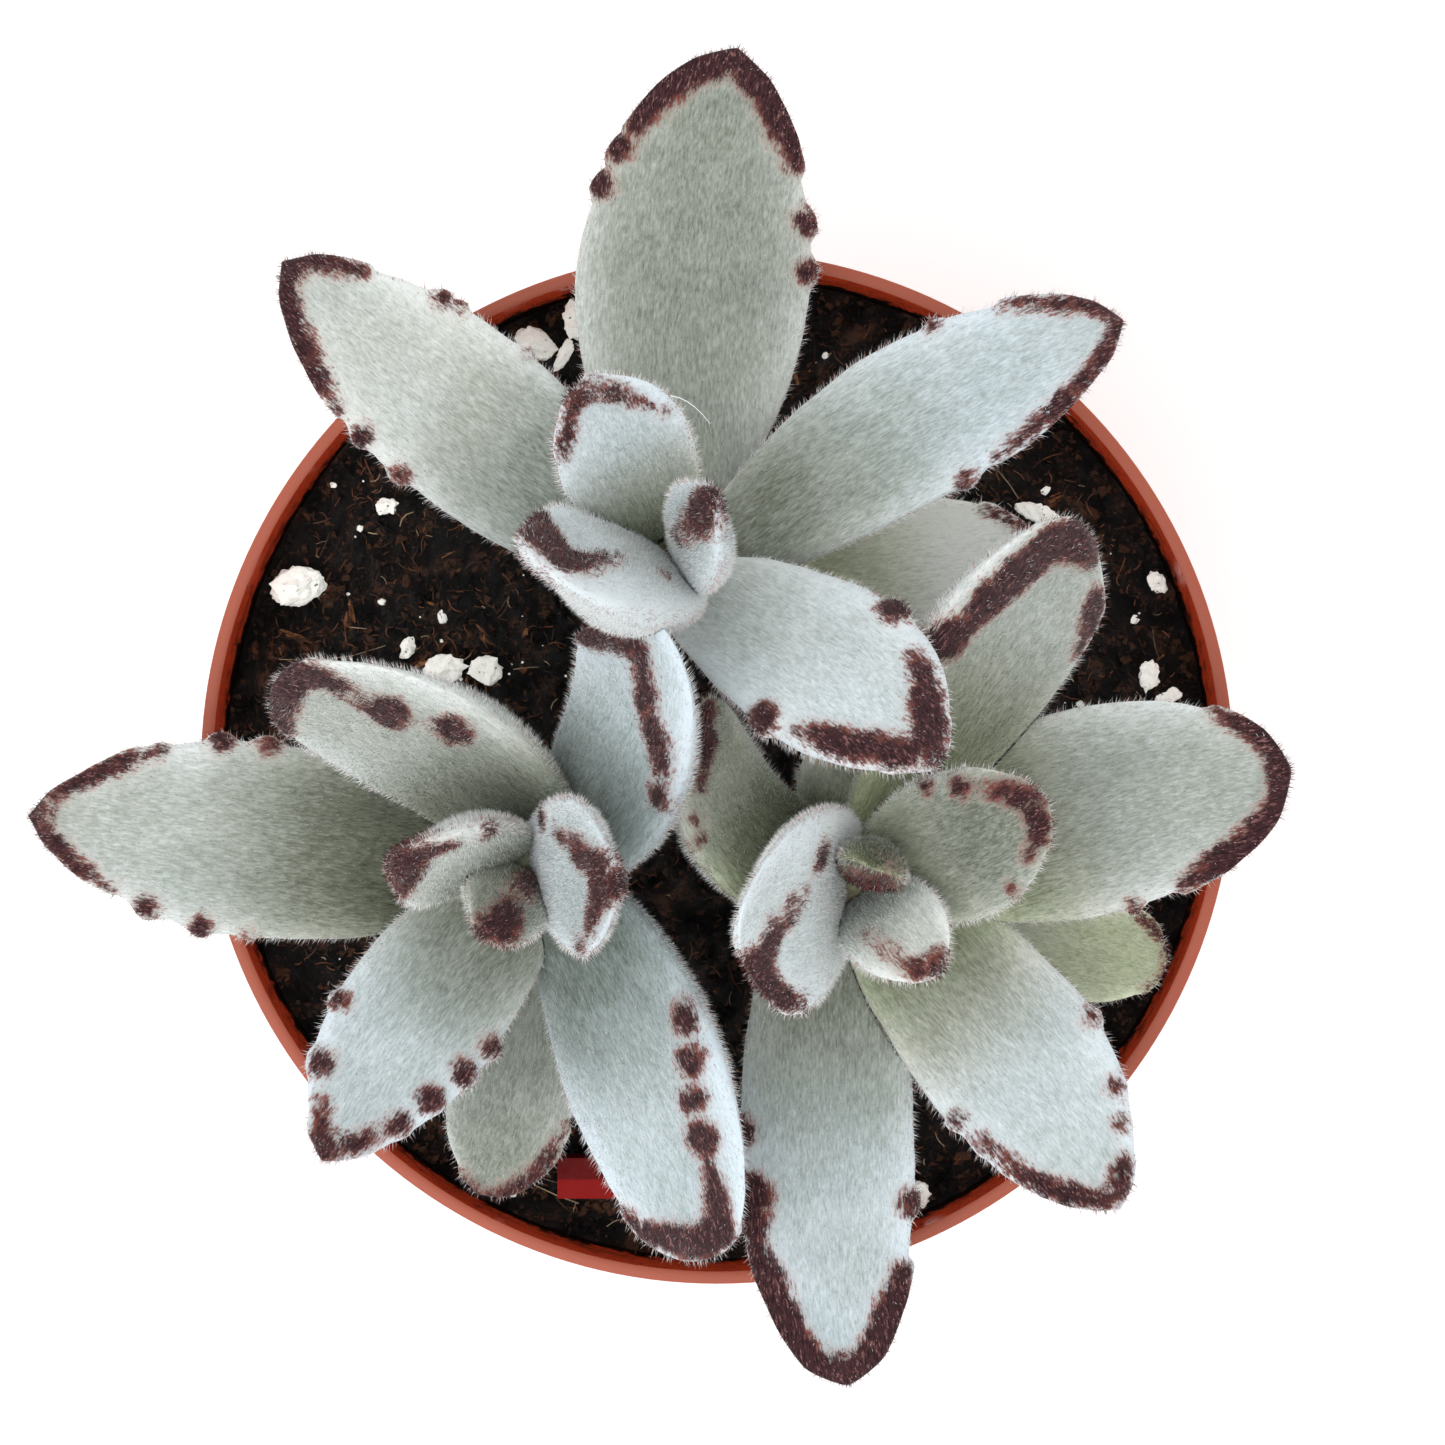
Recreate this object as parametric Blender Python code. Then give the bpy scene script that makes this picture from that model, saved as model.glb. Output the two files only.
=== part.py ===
"""Potted panda plant: three felted succulent rosettes in a terracotta-coloured plastic pot.

Metres, +Z up. The origin is the middle of the pot's underside, on the surface it stands on.
+Y is the top of the plant as seen from straight above. Lengths are given in millimetres and
heights "above the rim" are measured from the pot's top edge.
"""

import math

import bmesh
import bpy
from mathutils import Matrix, Vector, noise
from mathutils.bvhtree import BVHTree

MM = 0.001
FIT_GAP = 0.3  # clearance between pieces that touch

# Pot, as radii and heights
POT_RIM_RADIUS = 52.5
POT_HEIGHT = 92.0
POT_WALL = 1.35
POT_COLLAR_HEIGHT = 12.0
POT_COLLAR_RADIUS = 51.8
POT_COLLAR_STEP = 1.9
POT_BASE_RADIUS = 37.0
POT_FLOOR_TOP = 2.6
POT_PAD_RADIUS = 12.0
POT_FOOT_INNER_RADIUS = 33.5
POT_FOOT_LIFT = 1.2
POT_EDGE_BREAK = 0.8
POT_SEGMENTS = 56
DRAIN_COUNT = 8
DRAIN_RADIUS = 3.5
DRAIN_CIRCLE_RADIUS = 23.0

# Soil
SOIL_DROP = 6.0  # from the rim down to the soil at the wall
SOIL_MOUND = 2.0
SOIL_CLOD_HEIGHT = 1.5
SOIL_CLOD_SIZE = 8.0
SOIL_CRUMB_HEIGHT = 0.6
SOIL_CRUMB_SIZE = 3.4
SOIL_RINGS = 13
SOIL_SEGMENTS = 48

# Stems
STEM_SIDES = 12
STEM_BURIED = 26.0
STEM_FOOT_RADIUS = 3.7
STEM_TOP_RADIUS = 2.3
STEM_RINGS = 9
STEM_SCAR_SWELL = 0.3
STEM_CURVE = 1.3  # above 1 the stem leans more towards its tip
STEM_TIP_HEIGHT = 0.8  # as a share of the radius
# name: foot x, y at the soil, then tip x, y and height above the rim
STEMS = {
    "a": (-2.0, 17.5, -4.6, 20.0, 24.0),
    "b": (-17.5, -10.5, -18.6, -8.4, 23.0),
    "c": (14.0, -12.5, 12.8, -10.6, 24.0),
}

# Leaves
TOOTH_PITCH = 4.6
TOOTH_HEIGHT = 0.55
TOOTHED_SHARE = 0.55  # the outer share of the margin that carries teeth
SECTION_REACH = 0.62  # where the section's shoulder points lie, as a share of the half width
UPPER_SHARE = 0.36  # how much of the thickness lies above the margin line
INNER_STATIONS = 5
LENGTH_STEPS = 24
LEAF_WIDEST_AT = 0.52  # share of the length from the stem
LEAF_ROOT_WIDTH = 0.28  # as a share of the largest width
LEAF_SWELL = 0.28  # how much thicker the inner half is than the root, as a share
LEAF_SWELL_END = 0.8
LEAF_THINS_FROM = 0.45
LEAF_THINNING = 0.72  # how much of the thickness is gone at the tip
LEAF_ROOT_DEPTH = 2.0  # how far a leaf's own axis starts inside the stem before it is trimmed

# name, whose letter is the stem's: height above the rim and direction in degrees where the leaf
#       leaves the stem, middle of the midrib as x, y and height above the rim, its tip in the
#       same way, direction and elevation in degrees that the upper face looks in,
#       (width, thickness, cup of the section),
#       (how fast the inner half narrows, how sharp the tip is)
LEAVES = {
    "a1": ((4.5, 88), (-2.5, 46.5, 10.0), (2.0, 70.5, 15.0), (268, 82), (23.0, 5.2, 0.05), (1.30, 0.75)),
    "a2": ((7.0, 150), (-24.3, 34.2, 13.0), (-42.2, 49.3, 18.0), (323, 76), (17.4, 5.0, 0.05), (0.68, 0.85)),
    "a3": ((10.0, 30), (18.5, 33.4, 17.0), (39.0, 43.2, 22.0), (150, 74), (16.0, 5.0, 0.05), (0.75, 0.80)),
    "a4": ((0.0, 0), (19.0, 20.0, 2.5), (32.5, 22.5, 5.0), (180, 84), (14.0, 4.4, 0.03), (1.00, 0.85)),
    "a5": ((13.0, -75), (11.0, 9.4, 28.0), (20.3, 0.2, 36.0), (120, 56), (17.0, 5.2, 0.05), (0.50, 0.92)),
    "a6": ((17.5, 115), (-8.6, 29.6, 34.0), (-11.8, 36.0, 42.0), (300, 38), (13.0, 4.8, 0.12), (0.80, 0.80)),
    "a7": ((20.0, -75), (-10.2, 18.6, 36.0), (-17.8, 21.8, 42.0), (55, 26), (15.0, 7.4, 0.10), (0.60, 0.45)),
    "a8": ((21.0, 15), (-1.6, 22.0, 35.0), (-1.0, 26.2, 42.0), (200, 18), (9.6, 4.6, 0.12), (0.80, 0.85)),
    "b1": ((5.0, 182), (-45.0, -7.0, 12.0), (-67.0, -4.5, 17.0), (0, 78), (19.2, 5.2, 0.05), (0.70, 0.95)),
    "b2": ((12.5, 100), (-27.0, 2.2, 23.0), (-42.0, 7.8, 29.0), (245, 38), (20.5, 6.8, 0.05), (0.55, 0.45)),
    "b3": ((8.0, 240), (-29.0, -24.0, 16.0), (-38.0, -37.6, 21.0), (55, 66), (15.8, 5.0, 0.05), (0.45, 0.80)),
    "b4": ((-1.0, 268), (-20.5, -31.5, 1.5), (-24.2, -43.0, 2.5), (80, 84), (13.0, 4.2, 0.03), (1.00, 0.80)),
    "b5": ((9.0, -20), (-7.3, -28.5, 17.0), (-1.0, -47.1, 21.0), (175, 46), (20.5, 6.6, 0.05), (0.80, 0.48)),
    "b6": ((12.0, 0), (-8.0, 3.6, 27.0), (-9.5, 15.0, 34.0), (188, 44), (17.6, 6.4, 0.06), (0.45, 0.42)),
    "b7": ((18.5, 150), (-24.5, -8.1, 32.0), (-30.5, -9.0, 37.0), (300, 26), (12.0, 5.0, 0.12), (0.80, 0.85)),
    "b8": ((20.5, 250), (-20.0, -12.5, 30.0), (-22.0, -15.0, 35.0), (50, 26), (8.5, 4.0, 0.15), (0.80, 0.85)),
    "b9": ((20.0, 0), (-12.5, -9.5, 34.0), (-9.0, -10.0, 41.0), (185, 14), (14.5, 5.0, 0.15), (0.70, 0.70)),
    "c1": ((6.5, 10), (35.5, -4.5, 13.0), (55.5, 0.0, 19.0), (194, 76), (20.4, 5.2, 0.04), (1.15, 0.60)),
    "c2": ((17.0, 28), (22.5, -7.0, 29.0), (30.6, -2.6, 35.0), (205, 46), (14.5, 4.8, 0.10), (0.80, 0.65)),
    "c3": ((-1.0, -18), (34.0, -17.5, 0.5), (45.5, -19.5, 2.0), (160, 84), (11.5, 4.0, 0.03), (1.00, 0.85)),
    "c4": ((7.0, -52), (28.0, -27.0, 12.0), (39.2, -42.8, 17.0), (130, 78), (18.0, 5.2, 0.05), (0.60, 0.78)),
    "c5": ((4.0, -160), (10.9, -36.4, 11.0), (12.8, -60.2, 15.0), (88, 80), (17.8, 5.2, 0.05), (0.25, 0.90)),
    "c6": ((17.0, 208), (7.4, -12.6, 33.0), (2.0, -15.9, 41.0), (352, 26), (18.6, 5.8, 0.20), (0.40, 0.40)),
    "c7": ((20.0, -45), (16.8, -14.8, 30.0), (20.8, -18.8, 34.5), (130, 40), (9.8, 4.4, 0.12), (0.70, 0.70)),
    "c8": ((22.0, 70), (14.5, -8.5, 32.0), (14.5, -9.0, 36.0), (250, 20), (6.5, 3.4, 0.15), (0.80, 0.85)),
    "c9": ((2.0, 100), (15.0, -2.0, 6.0), (14.0, 8.0, 11.0), (275, 78), (14.0, 4.6, 0.04), (1.00, 0.85)),
    "c10": ((8.0, 165), (1.2, -4.0, 17.0), (-0.2, 7.0, 23.0), (0, 46), (13.0, 5.8, 0.06), (0.18, 0.65)),
    "c11": ((12.0, 62), (26.5, 11.0, 20.0), (36.2, 22.0, 22.0), (315, 42), (20.5, 6.8, 0.05), (0.90, 0.50)),
}

# Perlite grains: x, y, length, width and direction of the longer side in degrees
PERLITE = (
    (-43.0, 18.6, 6.2, 4.6, 25),
    (-33.9, 26.7, 2.6, 2.1, 20),
    (-31.8, 12.2, 2.4, 1.9, 80),
    (-27.9, 9.9, 4.6, 3.6, 10),
    (-23.6, 9.9, 3.8, 3.0, -20),
    (-18.6, 43.5, 4.6, 3.4, -40),
    (-15.8, 42.4, 4.0, 1.7, 60),
    (-14.6, 45.9, 4.6, 2.9, 100),
    (32.8, 26.2, 6.0, 2.0, -12),
    (45.3, 19.0, 2.8, 2.0, -60),
    (44.4, 9.5, 3.5, 2.3, 80),
    (46.4, 7.2, 3.4, 1.6, 15),
    (30.8, 2.9, 2.8, 2.3, 60),
    (20.9, -43.9, 2.9, 2.2, 70),
)
PERLITE_FLATNESS = 0.62
PERLITE_LUMP = 0.35
PERLITE_LUMP_SCALE = 1.6
SEATING_STEP = 0.05

# Plant label: a plastic strip pushed into the soil, with its top end folded over
LABEL_PLACE = (-12.8, -40.2)
LABEL_WIDTH = 7.0
LABEL_THICKNESS = 0.8
LABEL_BURIED = 16.0
LABEL_STANDING = 4.0
LABEL_FOLD_LENGTH = 3.4
LABEL_FOLD_DROP = 0.6
LABEL_POINT = 5.0

# Colour, roughness and metallic value of each finish
FINISHES = {
    "terracotta plastic": ((0.56, 0.14, 0.08), 0.45, 0.0),
    "peat soil": ((0.022, 0.014, 0.009), 0.95, 0.0),
    "felted leaf": ((0.60, 0.68, 0.62), 0.9, 0.0),
    "stem": ((0.30, 0.30, 0.20), 0.85, 0.0),
    "perlite": ((0.82, 0.80, 0.72), 0.9, 0.0),
    "label plastic": ((0.42, 0.02, 0.015), 0.4, 0.0),
}


def clear_scene():
    """Remove every object that the file starts with."""
    for existing in list(bpy.data.objects):
        bpy.data.objects.remove(existing)


def finish(name):
    """The material of that name, made when it is first asked for."""
    found = bpy.data.materials.get(name)
    if found:
        return found
    colour, roughness, metallic = FINISHES[name]
    material = bpy.data.materials.new(name)
    material.use_nodes = True
    shader = material.node_tree.nodes["Principled BSDF"]
    shader.inputs["Base Color"].default_value = (*colour, 1.0)
    shader.inputs["Roughness"].default_value = roughness
    shader.inputs["Metallic"].default_value = metallic
    return material


def add_object(name, shape, finish_name, smooth_angle=40.0):
    """Turn a bmesh in millimetres into a named object in metres."""
    bmesh.ops.recalc_face_normals(shape, faces=shape.faces)
    bmesh.ops.scale(shape, vec=(MM, MM, MM), verts=shape.verts)
    mesh = bpy.data.meshes.new(name)
    shape.to_mesh(mesh)
    shape.free()
    mesh.shade_smooth()
    mesh.set_sharp_from_angle(angle=math.radians(smooth_angle))
    mesh.materials.append(finish(finish_name))
    made = bpy.data.objects.new(name, mesh)
    bpy.context.scene.collection.objects.link(made)
    return made


def cut(target, cutter):
    """Subtract a helper object from the target, then remove the helper."""
    modifier = target.modifiers.new("cut", "BOOLEAN")
    modifier.operation = "DIFFERENCE"
    modifier.solver = "MANIFOLD"
    modifier.object = cutter
    bpy.context.view_layer.objects.active = target
    bpy.ops.object.modifier_apply(modifier=modifier.name)
    bpy.data.objects.remove(cutter)


def smoothstep(low, high, value):
    """0 below low, 1 above high, and a smooth ramp in between."""
    share = min(max((value - low) / (high - low), 0.0), 1.0)
    return share * share * (3 - 2 * share)


def lathe(profile, segments):
    """A closed solid turned about Z. The profile runs from the axis back to the axis."""
    shape = bmesh.new()
    rings = []
    for radius, height in profile:
        if radius == 0:
            rings.append([shape.verts.new((0, 0, height))])
            continue
        turns = [2 * math.pi * k / segments for k in range(segments)]
        rings.append(
            [shape.verts.new((radius * math.cos(t), radius * math.sin(t), height)) for t in turns]
        )
    for below, above in zip(rings, rings[1:]):
        for k in range(segments):
            corners = [
                below[k % len(below)],
                below[(k + 1) % len(below)],
                above[(k + 1) % len(above)],
                above[k % len(above)],
            ]
            shape.faces.new(dict.fromkeys(corners))
    return shape


def wall_radius(height, inside):
    """The pot's radius at a height, on its outer or its inner face."""
    collar_foot = POT_HEIGHT - POT_COLLAR_HEIGHT
    if height > collar_foot:
        share = (height - collar_foot) / POT_COLLAR_HEIGHT
        outer = POT_COLLAR_RADIUS + share * (POT_RIM_RADIUS - POT_COLLAR_RADIUS)
    else:
        top = POT_COLLAR_RADIUS - POT_COLLAR_STEP
        outer = POT_BASE_RADIUS + (top - POT_BASE_RADIUS) * height / collar_foot
    return outer - (POT_WALL if inside else 0)


def build_pot():
    """The pot: a thin tapered shell with a collar, a footed base and drain holes."""
    collar_foot = POT_HEIGHT - POT_COLLAR_HEIGHT
    below_collar = collar_foot - POT_COLLAR_STEP
    outer = [
        (0, 0),
        (POT_PAD_RADIUS, 0),
        (POT_PAD_RADIUS + POT_FOOT_LIFT, POT_FOOT_LIFT),
        (POT_FOOT_INNER_RADIUS - POT_FOOT_LIFT, POT_FOOT_LIFT),
        (POT_FOOT_INNER_RADIUS, 0),
        (POT_BASE_RADIUS - POT_EDGE_BREAK, 0),
        (wall_radius(POT_EDGE_BREAK, False), POT_EDGE_BREAK),
        (wall_radius(below_collar, False), below_collar),
        (POT_COLLAR_RADIUS, collar_foot),
        (POT_RIM_RADIUS, POT_HEIGHT - 0.4),
        (POT_RIM_RADIUS - 0.3, POT_HEIGHT),
    ]
    inner = [
        (POT_RIM_RADIUS - POT_WALL + 0.2, POT_HEIGHT),
        (POT_RIM_RADIUS - POT_WALL, POT_HEIGHT - 0.3),
        (POT_COLLAR_RADIUS - POT_WALL, collar_foot),
        (wall_radius(below_collar, True), below_collar),
        (wall_radius(POT_FLOOR_TOP, True), POT_FLOOR_TOP),
        (0, POT_FLOOR_TOP),
    ]
    pot = add_object("pot", lathe(outer + inner, POT_SEGMENTS), "terracotta plastic")
    drains = bmesh.new()
    for k in range(DRAIN_COUNT):
        turn = 2 * math.pi * (k + 0.5) / DRAIN_COUNT
        place = Matrix.Translation(
            (DRAIN_CIRCLE_RADIUS * math.cos(turn), DRAIN_CIRCLE_RADIUS * math.sin(turn), 2.0)
        )
        bmesh.ops.create_cone(
            drains,
            cap_ends=True,
            segments=12,
            radius1=DRAIN_RADIUS,
            radius2=DRAIN_RADIUS,
            depth=6.0,
            matrix=place,
        )
    cut(pot, add_object("drains", drains, "terracotta plastic"))


def soil_height(x, y):
    """Height of the soil's surface: a low mound with clods and crumbs on it."""
    radius = math.hypot(x, y)
    edge = wall_radius(POT_HEIGHT - SOIL_DROP, True)
    mound = SOIL_MOUND * (1 - (radius / edge) ** 2)
    clods = noise.noise(Vector((x, y, 4.0)) / SOIL_CLOD_SIZE)
    crumbs = noise.noise(Vector((x, y, 31.0)) / SOIL_CRUMB_SIZE)
    relief = SOIL_CLOD_HEIGHT * clods + SOIL_CRUMB_HEIGHT * crumbs
    return POT_HEIGHT - SOIL_DROP + mound + relief


def stem_point(stem, above_rim):
    """A point of a stem's axis and the stem's radius there, at a height above the rim."""
    foot_x, foot_y, tip_x, tip_y, tip_height = STEMS[stem]
    share = (above_rim + SOIL_DROP) / (tip_height + SOIL_DROP)
    bend = max(share, 0.0) ** STEM_CURVE
    x = foot_x + (tip_x - foot_x) * bend
    y = foot_y + (tip_y - foot_y) * bend
    radius = STEM_FOOT_RADIUS + (STEM_TOP_RADIUS - STEM_FOOT_RADIUS) * max(share, 0.0)
    return Vector((x, y, POT_HEIGHT + above_rim)), radius


def stem_shape(stem, extra):
    """A stem as a swollen, slightly leaning rod. With extra it is thicker, as a cutter."""
    tip_height = STEMS[stem][4]
    low = -SOIL_DROP - STEM_BURIED - extra
    shape = bmesh.new()
    rings = []
    for k in range(STEM_RINGS + 1):
        above_rim = low + (tip_height - low) * k / STEM_RINGS
        centre, radius = stem_point(stem, above_rim)
        radius += extra + STEM_SCAR_SWELL * (k % 2)
        turns = [2 * math.pi * n / STEM_SIDES for n in range(STEM_SIDES)]
        rings.append(
            [
                shape.verts.new(centre + Vector((radius * math.cos(t), radius * math.sin(t), 0)))
                for t in turns
            ]
        )
    for below, above in zip(rings, rings[1:]):
        for n in range(STEM_SIDES):
            after = (n + 1) % STEM_SIDES
            shape.faces.new((below[n], below[after], above[after], above[n]))
    shape.faces.new(rings[0])
    centre, radius = stem_point(stem, tip_height)
    tip = shape.verts.new(centre + Vector((0, 0, radius * STEM_TIP_HEIGHT + extra)))
    for n in range(STEM_SIDES):
        shape.faces.new((rings[-1][n], rings[-1][(n + 1) % STEM_SIDES], tip))
    return shape


def build_stems():
    """Each stem, from its buried foot to its growing tip."""
    for stem in STEMS:
        add_object(f"stem_{stem}", stem_shape(stem, 0.0), "stem")


class Leaf:
    """One thick leaf: its midrib, its frame and its half widths."""

    def __init__(self, stem, root, middle, tip, facing, section, ends):
        height, turn = root
        axis, radius = stem_point(stem, height)
        outward = Vector((math.cos(math.radians(turn)), math.sin(math.radians(turn)), 0))
        self.stem = stem
        self.start = axis + outward * (radius + FIT_GAP - LEAF_ROOT_DEPTH)
        self.end = Vector((tip[0], tip[1], POT_HEIGHT + tip[2]))
        around, up = (math.radians(a) for a in facing)
        self.face = Vector(
            (math.cos(around) * math.cos(up), math.sin(around) * math.cos(up), math.sin(up))
        )
        through = Vector((middle[0], middle[1], POT_HEIGHT + middle[2]))
        self.control = through * 2 - (self.start + self.end) / 2
        self.width, self.thickness, self.cup = section
        self.waist, self.sharpness = ends
        points = [self.midrib(k / LENGTH_STEPS) for k in range(LENGTH_STEPS + 1)]
        self.length = sum((b - a).length for a, b in zip(points, points[1:]))

    def midrib(self, share):
        """A point of the midrib, from 0 at the stem to 1 at the tip."""
        rest = 1 - share
        return self.start * rest**2 + self.control * 2 * rest * share + self.end * share**2

    def frame(self, share):
        """Directions across the leaf and out of its upper face."""
        rest = 1 - share
        along = (self.control - self.start) * rest + (self.end - self.control) * share
        along.normalize()
        across = self.face.cross(along).normalized()
        return across, along.cross(across).normalized()

    def outline(self, share):
        """Half width without teeth, as a share of the largest one."""
        if share < LEAF_WIDEST_AT:
            fullness = math.sin(math.pi / 2 * max(share, 0.0) / LEAF_WIDEST_AT) ** self.waist
            return LEAF_ROOT_WIDTH + (1 - LEAF_ROOT_WIDTH) * fullness
        return (1 - ((share - LEAF_WIDEST_AT) / (1 - LEAF_WIDEST_AT)) ** 2) ** self.sharpness

    def depth(self, share):
        """Thickness along the leaf, as a share of the largest one."""
        swell = (1 - LEAF_SWELL) + LEAF_SWELL * math.sin(math.pi * min(share / LEAF_SWELL_END, 1.0))
        return swell * (1 - LEAF_THINNING * smoothstep(LEAF_THINS_FROM, 1.0, share))

    def tooth(self, share, side):
        """How far a tooth stands out of the margin. The two margins alternate."""
        from_tip = (1 - share) * self.length
        wave = 0.5 - 0.5 * side * math.cos(2 * math.pi * from_tip / TOOTH_PITCH)
        ends = smoothstep(1 - TOOTHED_SHARE, 1.15 - TOOTHED_SHARE, share)
        ends *= smoothstep(0.0, 0.5 * TOOTH_PITCH, from_tip)
        return TOOTH_HEIGHT * ends * wave

    def stations(self):
        """Where the sections lie: at each tooth's peak and foot, then wider apart."""
        step = TOOTH_PITCH / 2 / self.length
        count = int(TOOTHED_SHARE / step)
        outer = [1 - k * step for k in range(count, 0, -1)]
        near_tip = [1 - step * 0.4]
        inner = [outer[0] * k / INNER_STATIONS for k in range(INNER_STATIONS)]
        return inner + outer + near_tip

    def section(self, share, extra):
        """The eight points round the leaf at one station."""
        centre = self.midrib(share)
        across, over = self.frame(share)
        half = self.width / 2 * self.outline(share)
        thick = self.thickness * self.depth(share)
        points = []
        for side, reach, upper in (
            (1, 1.0, 0),
            (1, SECTION_REACH, 1),
            (1, 0.0, 1),
            (-1, SECTION_REACH, 1),
            (-1, 1.0, 0),
            (-1, SECTION_REACH, -1),
            (1, 0.0, -1),
            (1, SECTION_REACH, -1),
        ):
            reached = (half + extra) * reach
            reached += self.tooth(share, side) if reach == 1.0 else 0.0
            depth = thick * (UPPER_SHARE if upper > 0 else 1 - UPPER_SHARE) + extra
            rise = upper * depth * math.sqrt(1 - reach**2) + self.cup * half * reach**2
            points.append(centre + across * side * reached + over * rise)
        return points

    def shape(self, extra=0.0):
        """The closed leaf. With extra it is larger on every side, as a cutter."""
        made = bmesh.new()
        stations = self.stations()
        stations[0] -= extra / self.length
        rings = [[made.verts.new(p) for p in self.section(s, extra)] for s in stations]
        for below, above in zip(rings, rings[1:]):
            for n in range(len(below)):
                after = (n + 1) % len(below)
                made.faces.new((below[n], below[after], above[after], above[n]))
        made.faces.new(rings[0])
        tip = made.verts.new(self.midrib(1 + extra / self.length))
        for n in range(len(rings[-1])):
            made.faces.new((rings[-1][n], rings[-1][(n + 1) % len(rings[-1])], tip))
        return made


def surface_tree(source):
    """A search tree of an object's faces."""
    vertices = [vertex.co.copy() for vertex in source.data.vertices]
    return BVHTree.FromPolygons(vertices, [face.vertices for face in source.data.polygons])


def build_leaves():
    """Each leaf. Its root clasps the stem, and the leaves seated above press dents into it."""
    leaves = {f"leaf_{name}": Leaf(name[0], *numbers) for name, numbers in LEAVES.items()}
    for name, leaf in leaves.items():
        made = add_object(name, leaf.shape(), "felted leaf", 60.0)
        cut(made, add_object("stem_cutter", stem_shape(leaf.stem, FIT_GAP), "stem"))
    upward = sorted(leaves, key=lambda name: leaves[name].start.z)
    for count, lower in enumerate(upward):
        for upper in upward[count + 1 :]:
            below = bpy.data.objects[lower]
            presser = add_object("presser", leaves[upper].shape(FIT_GAP), "felted leaf")
            if surface_tree(below).overlap(surface_tree(presser)):
                cut(below, presser)
            else:
                bpy.data.objects.remove(presser)


def build_soil():
    """The soil: it fills the pot, with plain holes where stems and label stand."""
    shape = bmesh.new()
    edge = wall_radius(POT_HEIGHT - SOIL_DROP, True) - FIT_GAP
    turns = [2 * math.pi * k / SOIL_SEGMENTS for k in range(SOIL_SEGMENTS)]
    crown = shape.verts.new((0, 0, soil_height(0, 0)))
    rings = []
    for ring in range(1, SOIL_RINGS + 1):
        radius = edge * ring / SOIL_RINGS
        flat = [(radius * math.cos(t), radius * math.sin(t)) for t in turns]
        rings.append([shape.verts.new((x, y, soil_height(x, y))) for x, y in flat])
    collar_foot = POT_HEIGHT - POT_COLLAR_HEIGHT
    for height in (collar_foot, collar_foot - POT_COLLAR_STEP, POT_FLOOR_TOP + FIT_GAP):
        radius = wall_radius(height, True) - FIT_GAP
        if height == collar_foot:
            radius = POT_COLLAR_RADIUS - POT_WALL - FIT_GAP
        rings.append(
            [shape.verts.new((radius * math.cos(t), radius * math.sin(t), height)) for t in turns]
        )
    for n in range(SOIL_SEGMENTS):
        after = (n + 1) % SOIL_SEGMENTS
        shape.faces.new((crown, rings[0][n], rings[0][after]))
        for above, below in zip(rings, rings[1:]):
            shape.faces.new((above[n], below[n], below[after], above[after]))
    shape.faces.new(rings[-1])
    soil = add_object("soil", shape, "peat soil", 20.0)
    for stem in STEMS:
        cut(soil, add_object("stem_hole", stem_shape(stem, FIT_GAP), "peat soil"))
    cut(soil, add_object("label_hole", label_shape(FIT_GAP), "peat soil"))


def label_shape(extra):
    """The label's strip. With extra it is the hole that it stands in."""
    shape = bmesh.new()
    x, y = LABEL_PLACE
    ground = POT_HEIGHT - SOIL_DROP
    half, thick = LABEL_WIDTH / 2 + extra, LABEL_THICKNESS / 2 + extra
    foot, top = ground - LABEL_BURIED - extra, ground + LABEL_STANDING
    side = [(-half, foot + LABEL_POINT), (0, foot), (half, foot + LABEL_POINT)]
    side += [(half, top), (-half, top)]
    front = [shape.verts.new((x + across, y - thick, z)) for across, z in side]
    back = [shape.verts.new((x + across, y + thick, z)) for across, z in side]
    shape.faces.new(front)
    shape.faces.new(back[::-1])
    for n in range(len(side)):
        after = (n + 1) % len(side)
        if n != 3 or extra:
            shape.faces.new((front[n], front[after], back[after], back[n]))
    if not extra:
        reach, drop = LABEL_FOLD_LENGTH, LABEL_FOLD_DROP
        fold = [
            [shape.verts.new((x + a, y - thick - reach, top - drop)) for a in (half, -half)],
            [
                shape.verts.new((x + a, y - thick - reach, top + LABEL_THICKNESS - drop))
                for a in (half, -half)
            ],
            [shape.verts.new((x + a, y + thick, top + LABEL_THICKNESS)) for a in (half, -half)],
        ]
        loop = [[front[3], front[4]], *fold, [back[3], back[4]]]
        for low, high in zip(loop, loop[1:]):
            shape.faces.new((low[0], low[1], high[1], high[0]))
        shape.faces.new([edge[0] for edge in loop])
        shape.faces.new([edge[1] for edge in loop])
    return shape


def build_label():
    """The red plastic label at the front of the pot."""
    add_object("plant_label", label_shape(0.0), "label plastic", 30.0)


def build_perlite():
    """The white grains, irregular pebbles that are lowered until they lie on the soil."""
    ground = surface_tree(bpy.data.objects["soil"])
    for count, (x, y, length, width, turn) in enumerate(PERLITE, 1):
        shape = bmesh.new()
        bmesh.ops.create_icosphere(shape, subdivisions=1, radius=1.0)
        height = width * PERLITE_FLATNESS
        for vertex in shape.verts:
            bump = noise.noise(vertex.co * PERLITE_LUMP_SCALE + Vector((count * 7.0, 0, 0)))
            vertex.co *= 1 + PERLITE_LUMP * bump
        bmesh.ops.scale(shape, vec=(length / 2, width / 2, height / 2), verts=shape.verts)
        turned = Matrix.Rotation(math.radians(turn), 4, "Z")
        bmesh.ops.rotate(shape, cent=(0, 0, 0), matrix=turned, verts=shape.verts)
        bmesh.ops.translate(shape, vec=(x, y, POT_HEIGHT), verts=shape.verts)
        grain = add_object(f"perlite_{count:02d}", shape, "perlite", 30.0)
        while not surface_tree(grain).overlap(ground):
            grain.data.transform(Matrix.Translation((0, 0, -SEATING_STEP * MM)))
        grain.data.transform(Matrix.Translation((0, 0, FIT_GAP * MM)))


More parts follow.
